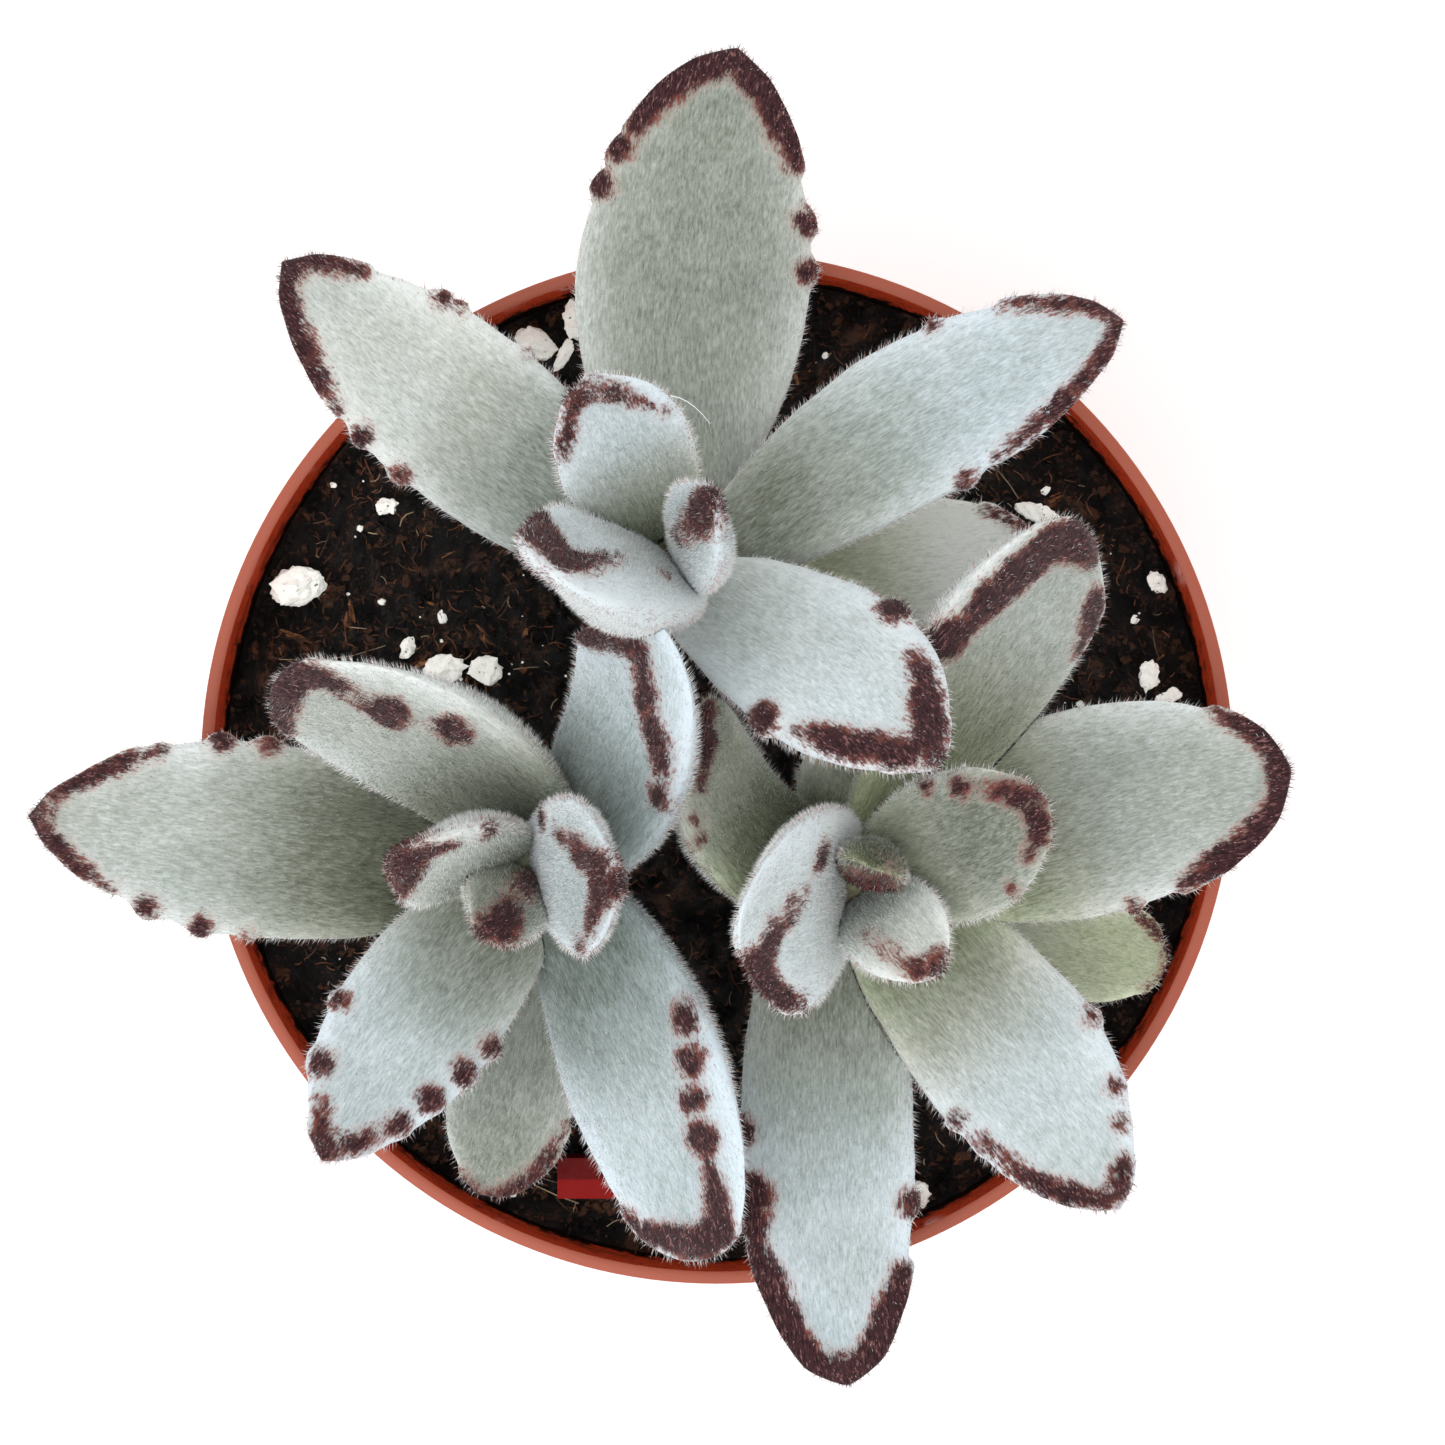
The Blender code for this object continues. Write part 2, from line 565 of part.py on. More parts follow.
def main():
    """Build every piece of the potted plant."""
    clear_scene()
    build_pot()
    build_soil()
    build_stems()
    build_leaves()
    build_label()
    build_perlite()


main()
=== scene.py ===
"""The looks of a potted panda plant: felted leaves, peat soil with perlite, and a plastic pot.

Sizes are in millimetres and become metres when a mesh is made. +Z is up, +Y is the top of the
plant as seen from straight above, and heights "above the rim" start at the pot's top edge.
"""

import logging
import math
from dataclasses import dataclass, field
from enum import Enum
from typing import Iterable, Sequence, Union

import bmesh
import bpy
import numpy as np
from mathutils import Matrix, Vector, noise
from mathutils.bvhtree import BVHTree
from mathutils.kdtree import KDTree


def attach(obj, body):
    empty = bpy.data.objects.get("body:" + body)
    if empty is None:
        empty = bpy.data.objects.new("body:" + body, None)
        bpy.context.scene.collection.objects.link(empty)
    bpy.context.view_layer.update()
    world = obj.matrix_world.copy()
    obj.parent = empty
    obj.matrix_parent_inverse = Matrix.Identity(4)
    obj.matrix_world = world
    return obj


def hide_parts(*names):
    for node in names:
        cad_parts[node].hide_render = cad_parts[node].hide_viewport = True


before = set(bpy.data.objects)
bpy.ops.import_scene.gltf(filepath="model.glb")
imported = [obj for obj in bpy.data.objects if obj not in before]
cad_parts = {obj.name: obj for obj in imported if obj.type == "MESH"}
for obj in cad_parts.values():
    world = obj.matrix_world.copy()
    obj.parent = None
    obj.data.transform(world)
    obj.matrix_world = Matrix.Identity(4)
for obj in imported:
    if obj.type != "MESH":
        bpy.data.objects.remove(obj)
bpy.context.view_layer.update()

LOG = logging.getLogger("panda_plant")
MM = 0.001
FIT_GAP = 0.3  # clearance between pieces that touch

# Shared sizes of the pot, the soil and the stems
POT_RIM_RADIUS = 52.5
POT_HEIGHT = 92.0
POT_WALL = 1.35
POT_COLLAR_HEIGHT = 12.0
POT_COLLAR_RADIUS = 51.8
POT_COLLAR_STEP = 1.9
POT_BASE_RADIUS = 37.0
POT_FLOOR_TOP = 2.6
SOIL_DROP = 6.0
STEM_FOOT_RADIUS = 3.7
STEM_TOP_RADIUS = 2.3
STEM_CURVE = 1.3

# Camera, straight above the plant
CAMERA_PLACE = (0.54, 4.57)
CAMERA_ABOVE_RIM = 400.0
PHOTO_WIDTH_PIXELS = 1445
FOCAL_PIXELS = 3939.0
SENSOR_WIDTH = 36.0

Colour = tuple[float, float, float]
Place = tuple[float, float, float]
Number = Union[float, "Value"]


def to_linear(red: int, green: int, blue: int) -> Colour:
    """A screen colour, 0 to 255, as the linear colour that shaders use.

    Args:
        red: its red part.
        green: its green part.
        blue: its blue part.

    Returns:
        The linear colour.
    """
    def channel(value: int) -> float:
        """One channel of it."""
        share = value / 255
        return share / 12.92 if share <= 0.04045 else ((share + 0.055) / 1.055) ** 2.4

    return channel(red), channel(green), channel(blue)


def smoothstep(low: float, high: float, value: np.ndarray) -> np.ndarray:
    """0 below low, 1 above high, and a smooth ramp in between."""
    share = np.clip((value - low) / (high - low), 0.0, 1.0)
    return share * share * (3 - 2 * share)


# Shader expressions


class Value:
    """A number socket of a shader. Arithmetic on it adds Math nodes."""

    def __init__(self, graph: "Graph", socket: bpy.types.NodeSocket) -> None:
        """Wrap an output socket of that graph."""
        self.graph = graph
        self.socket = socket

    def __add__(self, other: Number) -> "Value":
        """The sum."""
        return self.graph.maths("ADD", self, other)

    def __sub__(self, other: Number) -> "Value":
        """The difference."""
        return self.graph.maths("SUBTRACT", self, other)

    def __rsub__(self, other: Number) -> "Value":
        """The difference, taken from a number."""
        return self.graph.maths("SUBTRACT", other, self)

    def __mul__(self, other: Number) -> "Value":
        """The product."""
        return self.graph.maths("MULTIPLY", self, other)

    __radd__ = __add__
    __rmul__ = __mul__

    def clamped(self) -> "Value":
        """The value held between 0 and 1."""
        return self.ramp(0.0, 1.0, smooth=False)

    def ramp(self, low: float, high: float, smooth: bool = True) -> "Value":
        """A ramp from 0 at low to 1 at high.

        Args:
            low: where the ramp starts.
            high: where it ends, which may be below low.
            smooth: whether its ends are rounded.

        Returns:
            The ramp's value.
        """
        settings = {"interpolation_type": "SMOOTHSTEP" if smooth else "LINEAR", "clamp": True}
        inputs = {"Value": self, "From Min": low, "From Max": high}
        return self.graph.value("ShaderNodeMapRange", settings, inputs)


class Graph:
    """The nodes of one material."""

    def __init__(self, name: str) -> None:
        """Make a material with a plain Principled shader.

        Args:
            name: the material's name.
        """
        self.material = bpy.data.materials.new(name)
        self.material.use_nodes = True
        self.tree = self.material.node_tree
        self.shader = self.tree.nodes["Principled BSDF"]

    def node(self, kind: str, settings: dict = {}, inputs: dict = {}) -> bpy.types.Node:
        """Add a node.

        Args:
            kind: the node's type.
            settings: its properties, which are set first.
            inputs: a value, a socket or a Value for each socket, by name or number.

        Returns:
            The node.
        """
        made = self.tree.nodes.new(kind)
        for key, value in settings.items():
            setattr(made, key, value)
        for key, value in inputs.items():
            self.feed(made.inputs[key], value)
        return made

    def feed(self, socket: bpy.types.NodeSocket, value: object) -> None:
        """Link a socket, or set its own value.

        Args:
            socket: the input socket.
            value: a Value, a socket, a colour or a number.
        """
        if isinstance(value, Value):
            value = value.socket
        if isinstance(value, bpy.types.NodeSocket):
            self.tree.links.new(value, socket)
        elif isinstance(value, tuple) and socket.type == "RGBA":
            socket.default_value = (*value, 1.0)
        else:
            socket.default_value = value

    def value(self, kind: str, settings: dict = {}, inputs: dict = {}, output: int = 0) -> Value:
        """Add a node and wrap one of its outputs."""
        return Value(self, self.node(kind, settings, inputs).outputs[output])

    def maths(self, operation: str, first: Number, second: Number) -> Value:
        """A Math node on two numbers."""
        return self.value("ShaderNodeMath", {"operation": operation}, {0: first, 1: second})

    def place(self) -> bpy.types.NodeSocket:
        """The object's own coordinates, in millimetres."""
        coordinates = self.node("ShaderNodeTexCoord").outputs["Object"]
        return self.scaled(coordinates, (1 / MM,) * 3)

    def scaled(self, vector: object, factors: tuple) -> bpy.types.NodeSocket:
        """A vector with each axis multiplied by its own factor."""
        made = self.node("ShaderNodeVectorMath", {"operation": "MULTIPLY"}, {0: vector, 1: factors})
        return made.outputs[0]

    def axis(self, vector: object, number: int) -> Value:
        """One axis of a vector: 0 for X, 1 for Y and 2 for Z."""
        return self.value("ShaderNodeSeparateXYZ", {}, {0: vector}, number)

    def attribute(self, name: str) -> Value:
        """A number that the mesh carries at its points."""
        return self.value("ShaderNodeAttribute", {"attribute_name": name}, {}, 2)

    def attribute_vector(self, name: str) -> bpy.types.NodeSocket:
        """A vector that the mesh carries at its points."""
        return self.node("ShaderNodeAttribute", {"attribute_name": name}).outputs["Vector"]

    def noise(self, vector: object, scale: float, detail: float = 2.0, rough: float = 0.5) -> Value:
        """Soft noise from 0 to 1 with `scale` features in a unit of the vector."""
        inputs = {"Vector": vector, "Scale": scale, "Detail": detail, "Roughness": rough}
        return self.value("ShaderNodeTexNoise", {}, inputs)

    def cells(self, vector: object, scale: float) -> Value:
        """Distance to the nearest of many scattered points."""
        return self.value("ShaderNodeTexVoronoi", {}, {"Vector": vector, "Scale": scale})

    def mix(self, factor: Number, first: object, second: object) -> bpy.types.NodeSocket:
        """A colour between two colours."""
        inputs = {0: factor, 6: first, 7: second}
        return self.node("ShaderNodeMix", {"data_type": "RGBA"}, inputs).outputs[2]

    def stops(self, factor: Number, colours: Sequence[tuple[float, Colour]]) -> object:
        """A colour that runs through stops, given as (place, colour) pairs.

        Args:
            factor: where on the ramp to read.
            colours: the stops.

        Returns:
            The colour's socket.
        """
        made = self.node("ShaderNodeValToRGB", {}, {0: factor})
        bar = made.color_ramp.elements
        while len(bar) < len(colours):
            bar.new(0.5)
        for stop, (place, colour) in zip(bar, colours):
            stop.position, stop.color = place, (*colour, 1.0)
        return made.outputs[0]

    def tinted(self, factor: Number, colour: object, tint: Colour) -> bpy.types.NodeSocket:
        """A colour multiplied by a tint, as far as the factor says."""
        settings = {"data_type": "RGBA", "blend_type": "MULTIPLY"}
        return self.node("ShaderNodeMix", settings, {0: factor, 6: colour, 7: tint}).outputs[2]

    def bump(self, height: Value, depth: float, strength: float = 1.0) -> bpy.types.NodeSocket:
        """A normal bent by a height.

        Args:
            height: the relief, from 0 to 1.
            depth: how deep it is, in millimetres.
            strength: how much of it shows.

        Returns:
            The bent normal.
        """
        inputs = {"Height": height, "Distance": depth * MM, "Strength": strength}
        return self.node("ShaderNodeBump", {}, inputs).outputs[0]

    def finish(self, inputs: dict) -> bpy.types.Material:
        """Feed the shader's sockets by name and return the material."""
        for key, value in inputs.items():
            self.feed(self.shader.inputs[key], value)
        return self.material


# Finishes


@dataclass(frozen=True)
class FeltSkin:
    """A leaf's surface under its long hairs: a short nap over green, with brown marks."""

    tones: tuple = (
        (0.0, to_linear(52, 54, 42)),
        (0.3, to_linear(107, 111, 98)),
        (0.6, to_linear(164, 168, 157)),
        (1.0, to_linear(227, 229, 223)),
    )
    cool: Colour = (0.83, 0.93, 1.07)
    hue_patches: float = 0.5
    olive: Colour = (0.94, 1.0, 0.70)
    blush: Colour = to_linear(208, 176, 170)
    rust: Colour = to_linear(126, 68, 56)
    maroon: Colour = to_linear(58, 30, 34)
    # painted shade: near-black between the dark hairs where the nap sinks
    deep: Colour = to_linear(22, 10, 13)
    # paler where the nap and the tufts rise: partly the hairs' own pale tips, partly a painted
    # highlight
    frost: Colour = to_linear(150, 108, 104)
    nap_width: float = 0.2
    nap_length: float = 0.9
    # how much the relief of the nap and the tufts lightens and darkens the felt: partly its own white
    # over green, partly painted light and shade
    nap_contrast: float = 0.62
    tuft_contrast: float = 0.24
    patch_contrast: float = 0.22
    tone_shift: float = -0.05
    edge_wander: float = 1.0  # how far a mark's edge strays with the noise, the nap and the tufts
    edge_nap: float = 2.4
    edge_tuft: float = 1.4
    edge_blend: float = 0.45
    depth_wander: float = 2.2
    blush_share: float = 0.2
    deep_share: float = 0.8
    pale_tips_and_highlight_share: float = 0.85
    relief: float = 0.12

    def material(self) -> bpy.types.Material:
        """The skin's material. It reads the leaf's attributes mark, tone, cool and leaf_space.

        Returns:
            The material.
        """
        graph = Graph("felt_skin")
        space = graph.attribute_vector("leaf_space")
        across, along = 1 / self.nap_width, 1 / self.nap_length
        nap = graph.noise(graph.scaled(space, (across, along, across)), 1.0, 3.0, 0.6)
        tuft = graph.noise(graph.scaled(space, (across / 3, along / 2, across / 3)), 1.0, 2.0)
        patch = graph.noise(space, 0.16, 2.0)
        # nap and tufts lighten the felt where the bump raises it and darken it in its hollows: partly
        # the felt's own white over green, partly painted light and shade
        tone = graph.attribute("tone") + (nap - 0.5) * self.nap_contrast
        tone = tone + (tuft - 0.5) * self.tuft_contrast + (patch - 0.5) * self.patch_contrast
        tone = (tone + self.tone_shift).clamped()
        cool = graph.attribute("cool") + (graph.noise(space, 0.1, 2.0) - 0.5) * self.hue_patches
        skin = graph.tinted(cool, graph.stops(tone, self.tones), self.cool)
        skin = graph.tinted(cool * -1.0, skin, self.olive)
        wander = (graph.noise(space, 1.3, 4.0, 0.7) - 0.5) * self.edge_wander
        edge = graph.attribute("mark") + wander
        edge = edge + (nap - 0.5) * self.edge_nap + (tuft - 0.5) * self.edge_tuft
        skin = graph.mix(edge.ramp(-0.9, -0.1) * self.blush_share, skin, self.blush)
        depth = edge + (graph.noise(space, 0.5, 2.0) - 0.42) * self.depth_wander
        dark = graph.mix(depth.ramp(-0.1, 0.9), self.rust, self.maroon)
        # inside the marks, near-black where the nap sinks: painted shade between the dark hairs
        dark = graph.mix(nap.ramp(0.5, 0.36) * self.deep_share, dark, self.deep)
        # partly pale hair tips, partly a painted highlight on the crests
        pale_tips_and_highlight_mask = nap.ramp(0.52, 0.7) * tuft.ramp(0.35, 0.6) * self.pale_tips_and_highlight_share
        dark = graph.mix(pale_tips_and_highlight_mask, dark, self.frost)
        return graph.finish(
            {
                "Base Color": graph.mix(edge.ramp(-self.edge_blend, self.edge_blend), skin, dark),
                "Roughness": 0.85,
                "Sheen Weight": 0.25,
                "Sheen Roughness": 0.5,
                "Specular IOR Level": 0.15,
                "Normal": graph.bump(nap * 0.7 + tuft * 0.3, self.relief),
            }
        )


class Shade(Enum):
    """The shades of the long hairs, each with its screen colour."""

    DEEP = (106, 109, 92)
    SAGE = (158, 165, 152)
    PALE = (204, 209, 202)
    WHITE = (243, 244, 243)
    COOL = (192, 206, 216)
    BLUSH = (206, 168, 162)
    RUST = (138, 80, 72)
    DARK = (50, 26, 28)
    BLACK = (26, 12, 15)
    WINE = (76, 20, 18)

    @property
    def slot(self) -> int:
        """The shade's place in a felt piece's list of materials."""
        return list(Shade).index(self)

    def material(self) -> bpy.types.Material:
        """The hair's material, made when it is first asked for.

        Returns:
            The material.
        """
        name = f"hair_{self.name.lower()}"
        found = bpy.data.materials.get(name)
        if found:
            return found
        inputs = {"Base Color": to_linear(*self.value), "Roughness": 0.6}
        return Graph(name).finish({**inputs, "Specular IOR Level": 0.3})


@dataclass(frozen=True)
class PotPlastic:
    """Moulded terracotta-coloured plastic, matt and a little worn."""

    plain: Colour = to_linear(168, 82, 60)
    worn: Colour = to_linear(173, 91, 69)

    def material(self) -> bpy.types.Material:
        """The material of the pot's outer face and lip.

        Returns:
            The material.
        """
        graph = Graph("pot_plastic")
        place = graph.place()
        speckle = graph.noise(place, 2.2, 4.0, 0.7)
        cloud = graph.noise(place, 0.06, 3.0)
        wear = (cloud * 0.5 + speckle * 0.3).clamped()
        return graph.finish(
            {
                "Base Color": graph.mix(wear, self.plain, self.worn),
                "Roughness": speckle * 0.12 + 0.42,
                "Specular IOR Level": 0.35,
                "Normal": graph.bump(speckle, 0.03),
            }
        )


@dataclass(frozen=True)
class PotInside:
    """The pot's inner face: wet, smeared with soil, and given a painted glow as if lit a little
    through the thin wall.
    """

    inner: Colour = to_linear(204, 68, 36)
    damp: Colour = to_linear(112, 38, 20)
    dirt: Colour = to_linear(26, 17, 12)
    soil_line: float = POT_HEIGHT - 5.0
    # painted glow: the inner face emits a little of its own colour
    glow: float = 0.12

    def material(self) -> bpy.types.Material:
        """The material of the pot's inner face.

        Returns:
            The material.
        """
        graph = Graph("pot_inside")
        place = graph.place()
        height = graph.axis(place, 2)
        speckle = graph.noise(place, 2.2, 4.0, 0.7)
        soaked = (graph.noise(place, 0.5, 4.0, 0.7) + (POT_HEIGHT - height) * 0.05).ramp(0.56, 0.9)
        colour = graph.mix(soaked, self.inner, self.damp)
        smudge = (graph.noise(place, 0.5, 5.0, 0.75) - 0.5) * 9.0 + (self.soil_line - height)
        colour = graph.mix(smudge.ramp(-0.2, 0.4), colour, self.dirt)
        drops = graph.cells(place, 1.1).ramp(0.3, 0.08)
        return graph.finish(
            {
                "Base Color": colour,
                # painted glow
                "Emission Color": colour,
                "Emission Strength": self.glow,
                "Roughness": speckle * 0.2 + 0.08,
                "Normal": graph.bump(drops * 0.9 + speckle * 0.15, 0.35),
            }
        )


@dataclass(frozen=True)
class Peat:
    """Damp peat: near-black crumbs with brown and orange fibres and wet glints."""

    name: str = "peat"
    black: Colour = to_linear(9, 6, 5)
    brown: Colour = to_linear(92, 58, 38)
    orange: Colour = to_linear(172, 106, 66)
    brownness: float = 0.0

    def material(self) -> bpy.types.Material:
        """The peat's material. It reads the attribute rise, which is high on the clods and on the
        crumbs' tops: painted light makes those browner, and painted shade keeps the hollows black.

        Returns:
            The material.
        """
        graph = Graph(self.name)
        place = graph.place()
        lump = graph.noise(place, 0.4, 4.0, 0.65)
        grain = graph.noise(place, 2.4, 6.0, 0.8)
        swirl = graph.noise(place, 0.9, 2.0)
        thread = graph.noise(graph.scaled(place, (1.0, 5.5, 2.0)), 0.9, 3.0, 0.6)
        cross = graph.noise(graph.scaled(place, (5.0, 1.1, 2.0)), 0.9, 3.0, 0.6)
        threads = (thread * swirl.ramp(0.4, 0.6) + cross * swirl.ramp(0.6, 0.4)).ramp(0.55, 0.72)
        # painted light and shade: browner and more orange on the tops, blacker in the hollows
        rise = graph.attribute("rise") * 0.14
        brown = (lump * 0.5 + grain * 0.7 + threads * 0.16 + rise + self.brownness).ramp(0.61, 0.75)
        colour = graph.mix(brown, self.black, self.brown)
        fleck = threads * (grain + rise + self.brownness).ramp(0.56, 0.7)
        return graph.finish(
            {
                "Base Color": graph.mix(fleck * 0.6, colour, self.orange),
                "Roughness": grain * 0.6 + 0.08,
                "Specular IOR Level": 0.6,
                "Normal": graph.bump(grain * 0.9 + lump * 0.3 + threads * 0.15, 0.8),
            }
        )


@dataclass(frozen=True)
class PerliteStone:
    """Expanded volcanic glass: bright chalky white with fine pits, a little dirt, and a painted glow
    that brightens it.
    """

    white: Colour = to_linear(255, 254, 247)
    dirt: Colour = to_linear(70, 56, 44)
    # painted glow: the grains emit a little of their own colour to look more brightly lit
    glow: float = 0.16

    def material(self) -> bpy.types.Material:
        """The grains' material.

        Returns:
            The material.
        """
        graph = Graph("perlite_stone")
        place = graph.place()
        pits = graph.cells(place, 1.8).ramp(0.3, 0.08)
        pits = pits * graph.noise(place, 1.3, 2.0).ramp(0.5, 0.6)
        stain = graph.noise(place, 1.4, 4.0, 0.7).ramp(0.66, 0.9) * 0.25
        colour = graph.mix(stain, self.white, self.dirt)
        relief = graph.noise(place, 3.5, 4.0, 0.7) - pits * 0.8
        # the pits, which the bump sinks, are darkened
        colour = graph.mix(pits * 0.9, colour, self.dirt)
        return graph.finish(
            {
                "Base Color": colour,
                # painted glow
                "Emission Color": colour,
                "Emission Strength": self.glow,
                "Roughness": 0.9,
                "Specular IOR Level": 0.2,
                "Normal": graph.bump(relief, 0.12),
            }
        )


@dataclass(frozen=True)
class LabelPlastic:
    """The label's red plastic, a little dusty, with painted shade darkening it away from its folded
    lip.
    """

    red: Colour = to_linear(132, 14, 12)
    dark: Colour = to_linear(92, 4, 4)
    painted_shade_from: float = -42.0  # the Y where the painted shade beyond the fold starts

    def material(self) -> bpy.types.Material:
        """The label's material.

        Returns:
            The material.
        """
        graph = Graph("label_red")
        place = graph.place()
        dust = graph.noise(place, 1.4, 4.0, 0.7)
        inward = graph.axis(place, 1) - self.painted_shade_from
        # painted shade: the label is darker beyond its fold
        shade = (inward + (dust - 0.5) * 0.3).ramp(-0.12, 0.12)
        return graph.finish(
            {
                "Base Color": graph.mix(shade, self.red, self.dark),
                "Roughness": dust * 0.4 + 0.4,
                "Specular IOR Level": 0.12,
                "Normal": graph.bump(graph.noise(place, 3.0, 2.0), 0.03),
            }
        )


@dataclass(frozen=True)
class StemBark:
    """A young stem: felted olive skin with brown leaf scars."""

    olive: Colour = to_linear(150, 156, 128)
    brown: Colour = to_linear(96, 74, 54)

    def material(self) -> bpy.types.Material:
        """The stems' material.

        Returns:
            The material.
        """
        graph = Graph("stem_bark")
        place = graph.place()
        rings = graph.noise(graph.scaled(place, (0.25, 0.25, 1.1)), 1.0, 4.0, 0.6)
        fuzz = graph.noise(place, 5.0, 3.0, 0.7)
        colour = graph.mix((rings * 0.8 + fuzz * 0.3).ramp(0.45, 0.7), self.olive, self.brown)
        return graph.finish(
            {
                "Base Color": colour,
                "Roughness": 0.85,
                "Normal": graph.bump(rings * 0.6 + fuzz * 0.4, 0.3),
            }
        )


@dataclass(frozen=True)
class PlainFibre:
    """A thin fibre or root of one shade, mottled and damp in places."""

    name: str
    colour: Colour
    damp: float = 0.45

    def material(self) -> bpy.types.Material:
        """The fibre's material.

        Returns:
            The material.
        """
        graph = Graph(self.name)
        place = graph.place()
        wet = graph.noise(place, 0.8, 3.0, 0.6).ramp(0.45, 0.7)
        bark = graph.noise(place, 6.0, 3.0, 0.7)
        soaked = tuple(c * self.damp for c in self.colour)
        return graph.finish(
            {
                "Base Color": graph.mix((wet * 0.7 + bark * 0.3).clamped(), self.colour, soaked),
                "Roughness": bark * 0.4 + 0.4,
                "Normal": graph.bump(bark, 0.03),
            }
        )


@dataclass(frozen=True)
class StudioFloor:
    """A pale matt sweep under the pot."""

    pale: Colour = (0.93, 0.93, 0.93)
    glow: float = 0.22

    def material(self) -> bpy.types.Material:
        """The floor's material.

        Returns:
            The material.
        """
        graph = Graph("studio_floor")
        mottle = graph.noise(graph.place(), 0.02, 2.0)
        pale = graph.mix(mottle * 0.2, self.pale, tuple(c * 0.98 for c in self.pale))
        glow = {"Emission Color": self.pale, "Emission Strength": self.glow}
        return graph.finish({"Base Color": pale, "Roughness": 0.9, **glow})


# Modelling by hand


class Bench:
    """The workbench: starts pieces from primitives and finishes them."""

    @staticmethod
    def clear_selection() -> None:
        """Leave edit mode and deselect every object."""
        if bpy.context.object and bpy.context.object.mode != "OBJECT":
            bpy.ops.object.mode_set(mode="OBJECT")
        bpy.ops.object.select_all(action="DESELECT")

    @staticmethod
    def pick(piece: bpy.types.Object) -> None:
        """Make a piece the only selected and active one.

        Args:
            piece: the piece.
        """
        Bench.clear_selection()
        piece.select_set(True)
        bpy.context.view_layer.objects.active = piece

    @staticmethod
    def apply(piece: bpy.types.Object, kind: str, **settings: object) -> None:
        """Add a modifier with those settings and apply it.

        Args:
            piece: the piece.
            kind: the modifier's type.
            settings: its properties, by name.
        """
        Bench.pick(piece)
        modifier = piece.modifiers.new(kind.lower(), kind)
        for key, value in settings.items():
            setattr(modifier, key, value)
        bpy.ops.object.modifier_apply(modifier=modifier.name)

    @staticmethod
    def cut(piece: bpy.types.Object, cutter: bpy.types.Object) -> None:
        """Take a cutter's space out of a piece, and remove the cutter."""
        Bench.apply(piece, "BOOLEAN", operation="DIFFERENCE", solver="MANIFOLD", object=cutter)
        bpy.data.objects.remove(cutter)

    @staticmethod
    def turned(profile: Sequence[tuple[float, float]], segments: int) -> bpy.types.Object:
        """Model a turned piece: one corner, extruded along the profile and spun about Z.

        Args:
            profile: radii and heights, from the axis back to the axis.
            segments: how many steps the spin has.

        Returns:
            The piece, in metres.
        """
        Bench.clear_selection()
        bpy.ops.mesh.primitive_plane_add(size=MM)
        piece = bpy.context.object
        bpy.ops.object.mode_set(mode="EDIT")
        bpy.ops.mesh.select_all(action="SELECT")
        bpy.ops.mesh.merge(type="CENTER")
        start = Vector((profile[0][0] * MM, 0, profile[0][1] * MM))
        bpy.ops.transform.translate(value=start)
        for (radius, height), (next_radius, next_height) in zip(profile, profile[1:]):
            step = Vector(((next_radius - radius) * MM, 0, (next_height - height) * MM))
            bpy.ops.mesh.extrude_region_move(TRANSFORM_OT_translate={"value": step})
        bpy.ops.mesh.select_all(action="SELECT")
        full_turn = 2 * math.pi
        bpy.ops.mesh.spin(steps=segments, angle=full_turn, center=(0, 0, 0), axis=(0, 0, 1))
        bpy.ops.mesh.select_all(action="SELECT")
        bpy.ops.mesh.remove_doubles(threshold=0.02 * MM)
        bpy.ops.mesh.normals_make_consistent(inside=False)
        bpy.ops.object.mode_set(mode="OBJECT")
        return piece

    @staticmethod
    def merged_copy(node: str) -> bpy.types.Object:
        """A copy of a CAD node with its loose triangles joined at their corners.

        Args:
            node: the node's name.

        Returns:
            The copy.
        """
        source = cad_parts[node]
        copied = bpy.data.objects.new(f"copy_of_{node}", source.data.copy())
        bpy.context.scene.collection.objects.link(copied)
        copied.data.materials.clear()
        for attribute in [a.name for a in copied.data.attributes if a.name == "custom_normal"]:
            copied.data.attributes.remove(copied.data.attributes[attribute])
        Bench.pick(copied)
        bpy.ops.object.mode_set(mode="EDIT")
        bpy.ops.mesh.select_all(action="SELECT")
        bpy.ops.mesh.remove_doubles(threshold=0.001 * MM)
        bpy.ops.object.mode_set(mode="OBJECT")
        return copied

    @staticmethod
    def mesh_piece(name: str, corners: np.ndarray, faces: object) -> bpy.types.Object:
        """A new piece from corner places in millimetres and its faces.

        Args:
            name: the piece's name.
            corners: its corners.
            faces: each face's corner numbers.

        Returns:
            The piece.
        """
        mesh = bpy.data.meshes.new(name)
        mesh.from_pydata(corners * MM, [], faces)
        piece = bpy.data.objects.new(name, mesh)
        bpy.context.scene.collection.objects.link(piece)
        return piece

    @staticmethod
    def deliver(
        piece: bpy.types.Object,
        name: str,
        slot: str,
        materials: Iterable[bpy.types.Material],
        replaces: Sequence[str] = (),
        crease: float = 50.0,
    ) -> None:
        """Name, shade and dress a finished piece, and let it ride with the pot.

        Args:
            piece: the finished object, at the origin.
            name: the piece's name.
            slot: the record's material slot; not used.
            materials: its materials, in the order of its faces' slots.
            replaces: the CAD nodes that it stands for.
            crease: the angle in degrees above which an edge stays sharp.
        """
        piece.name = piece.data.name = name
        if len(piece.data.materials):
            piece.data.materials.clear()
            piece.data.polygons.foreach_set("material_index", [0] * len(piece.data.polygons))
        for material in materials:
            piece.data.materials.append(material)
        Bench.pick(piece)
        bpy.ops.object.shade_smooth_by_angle(angle=math.radians(crease))
        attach(piece, "root")
        if replaces:
            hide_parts(*replaces)
        LOG.info("%s: %d faces", name, len(piece.data.polygons))

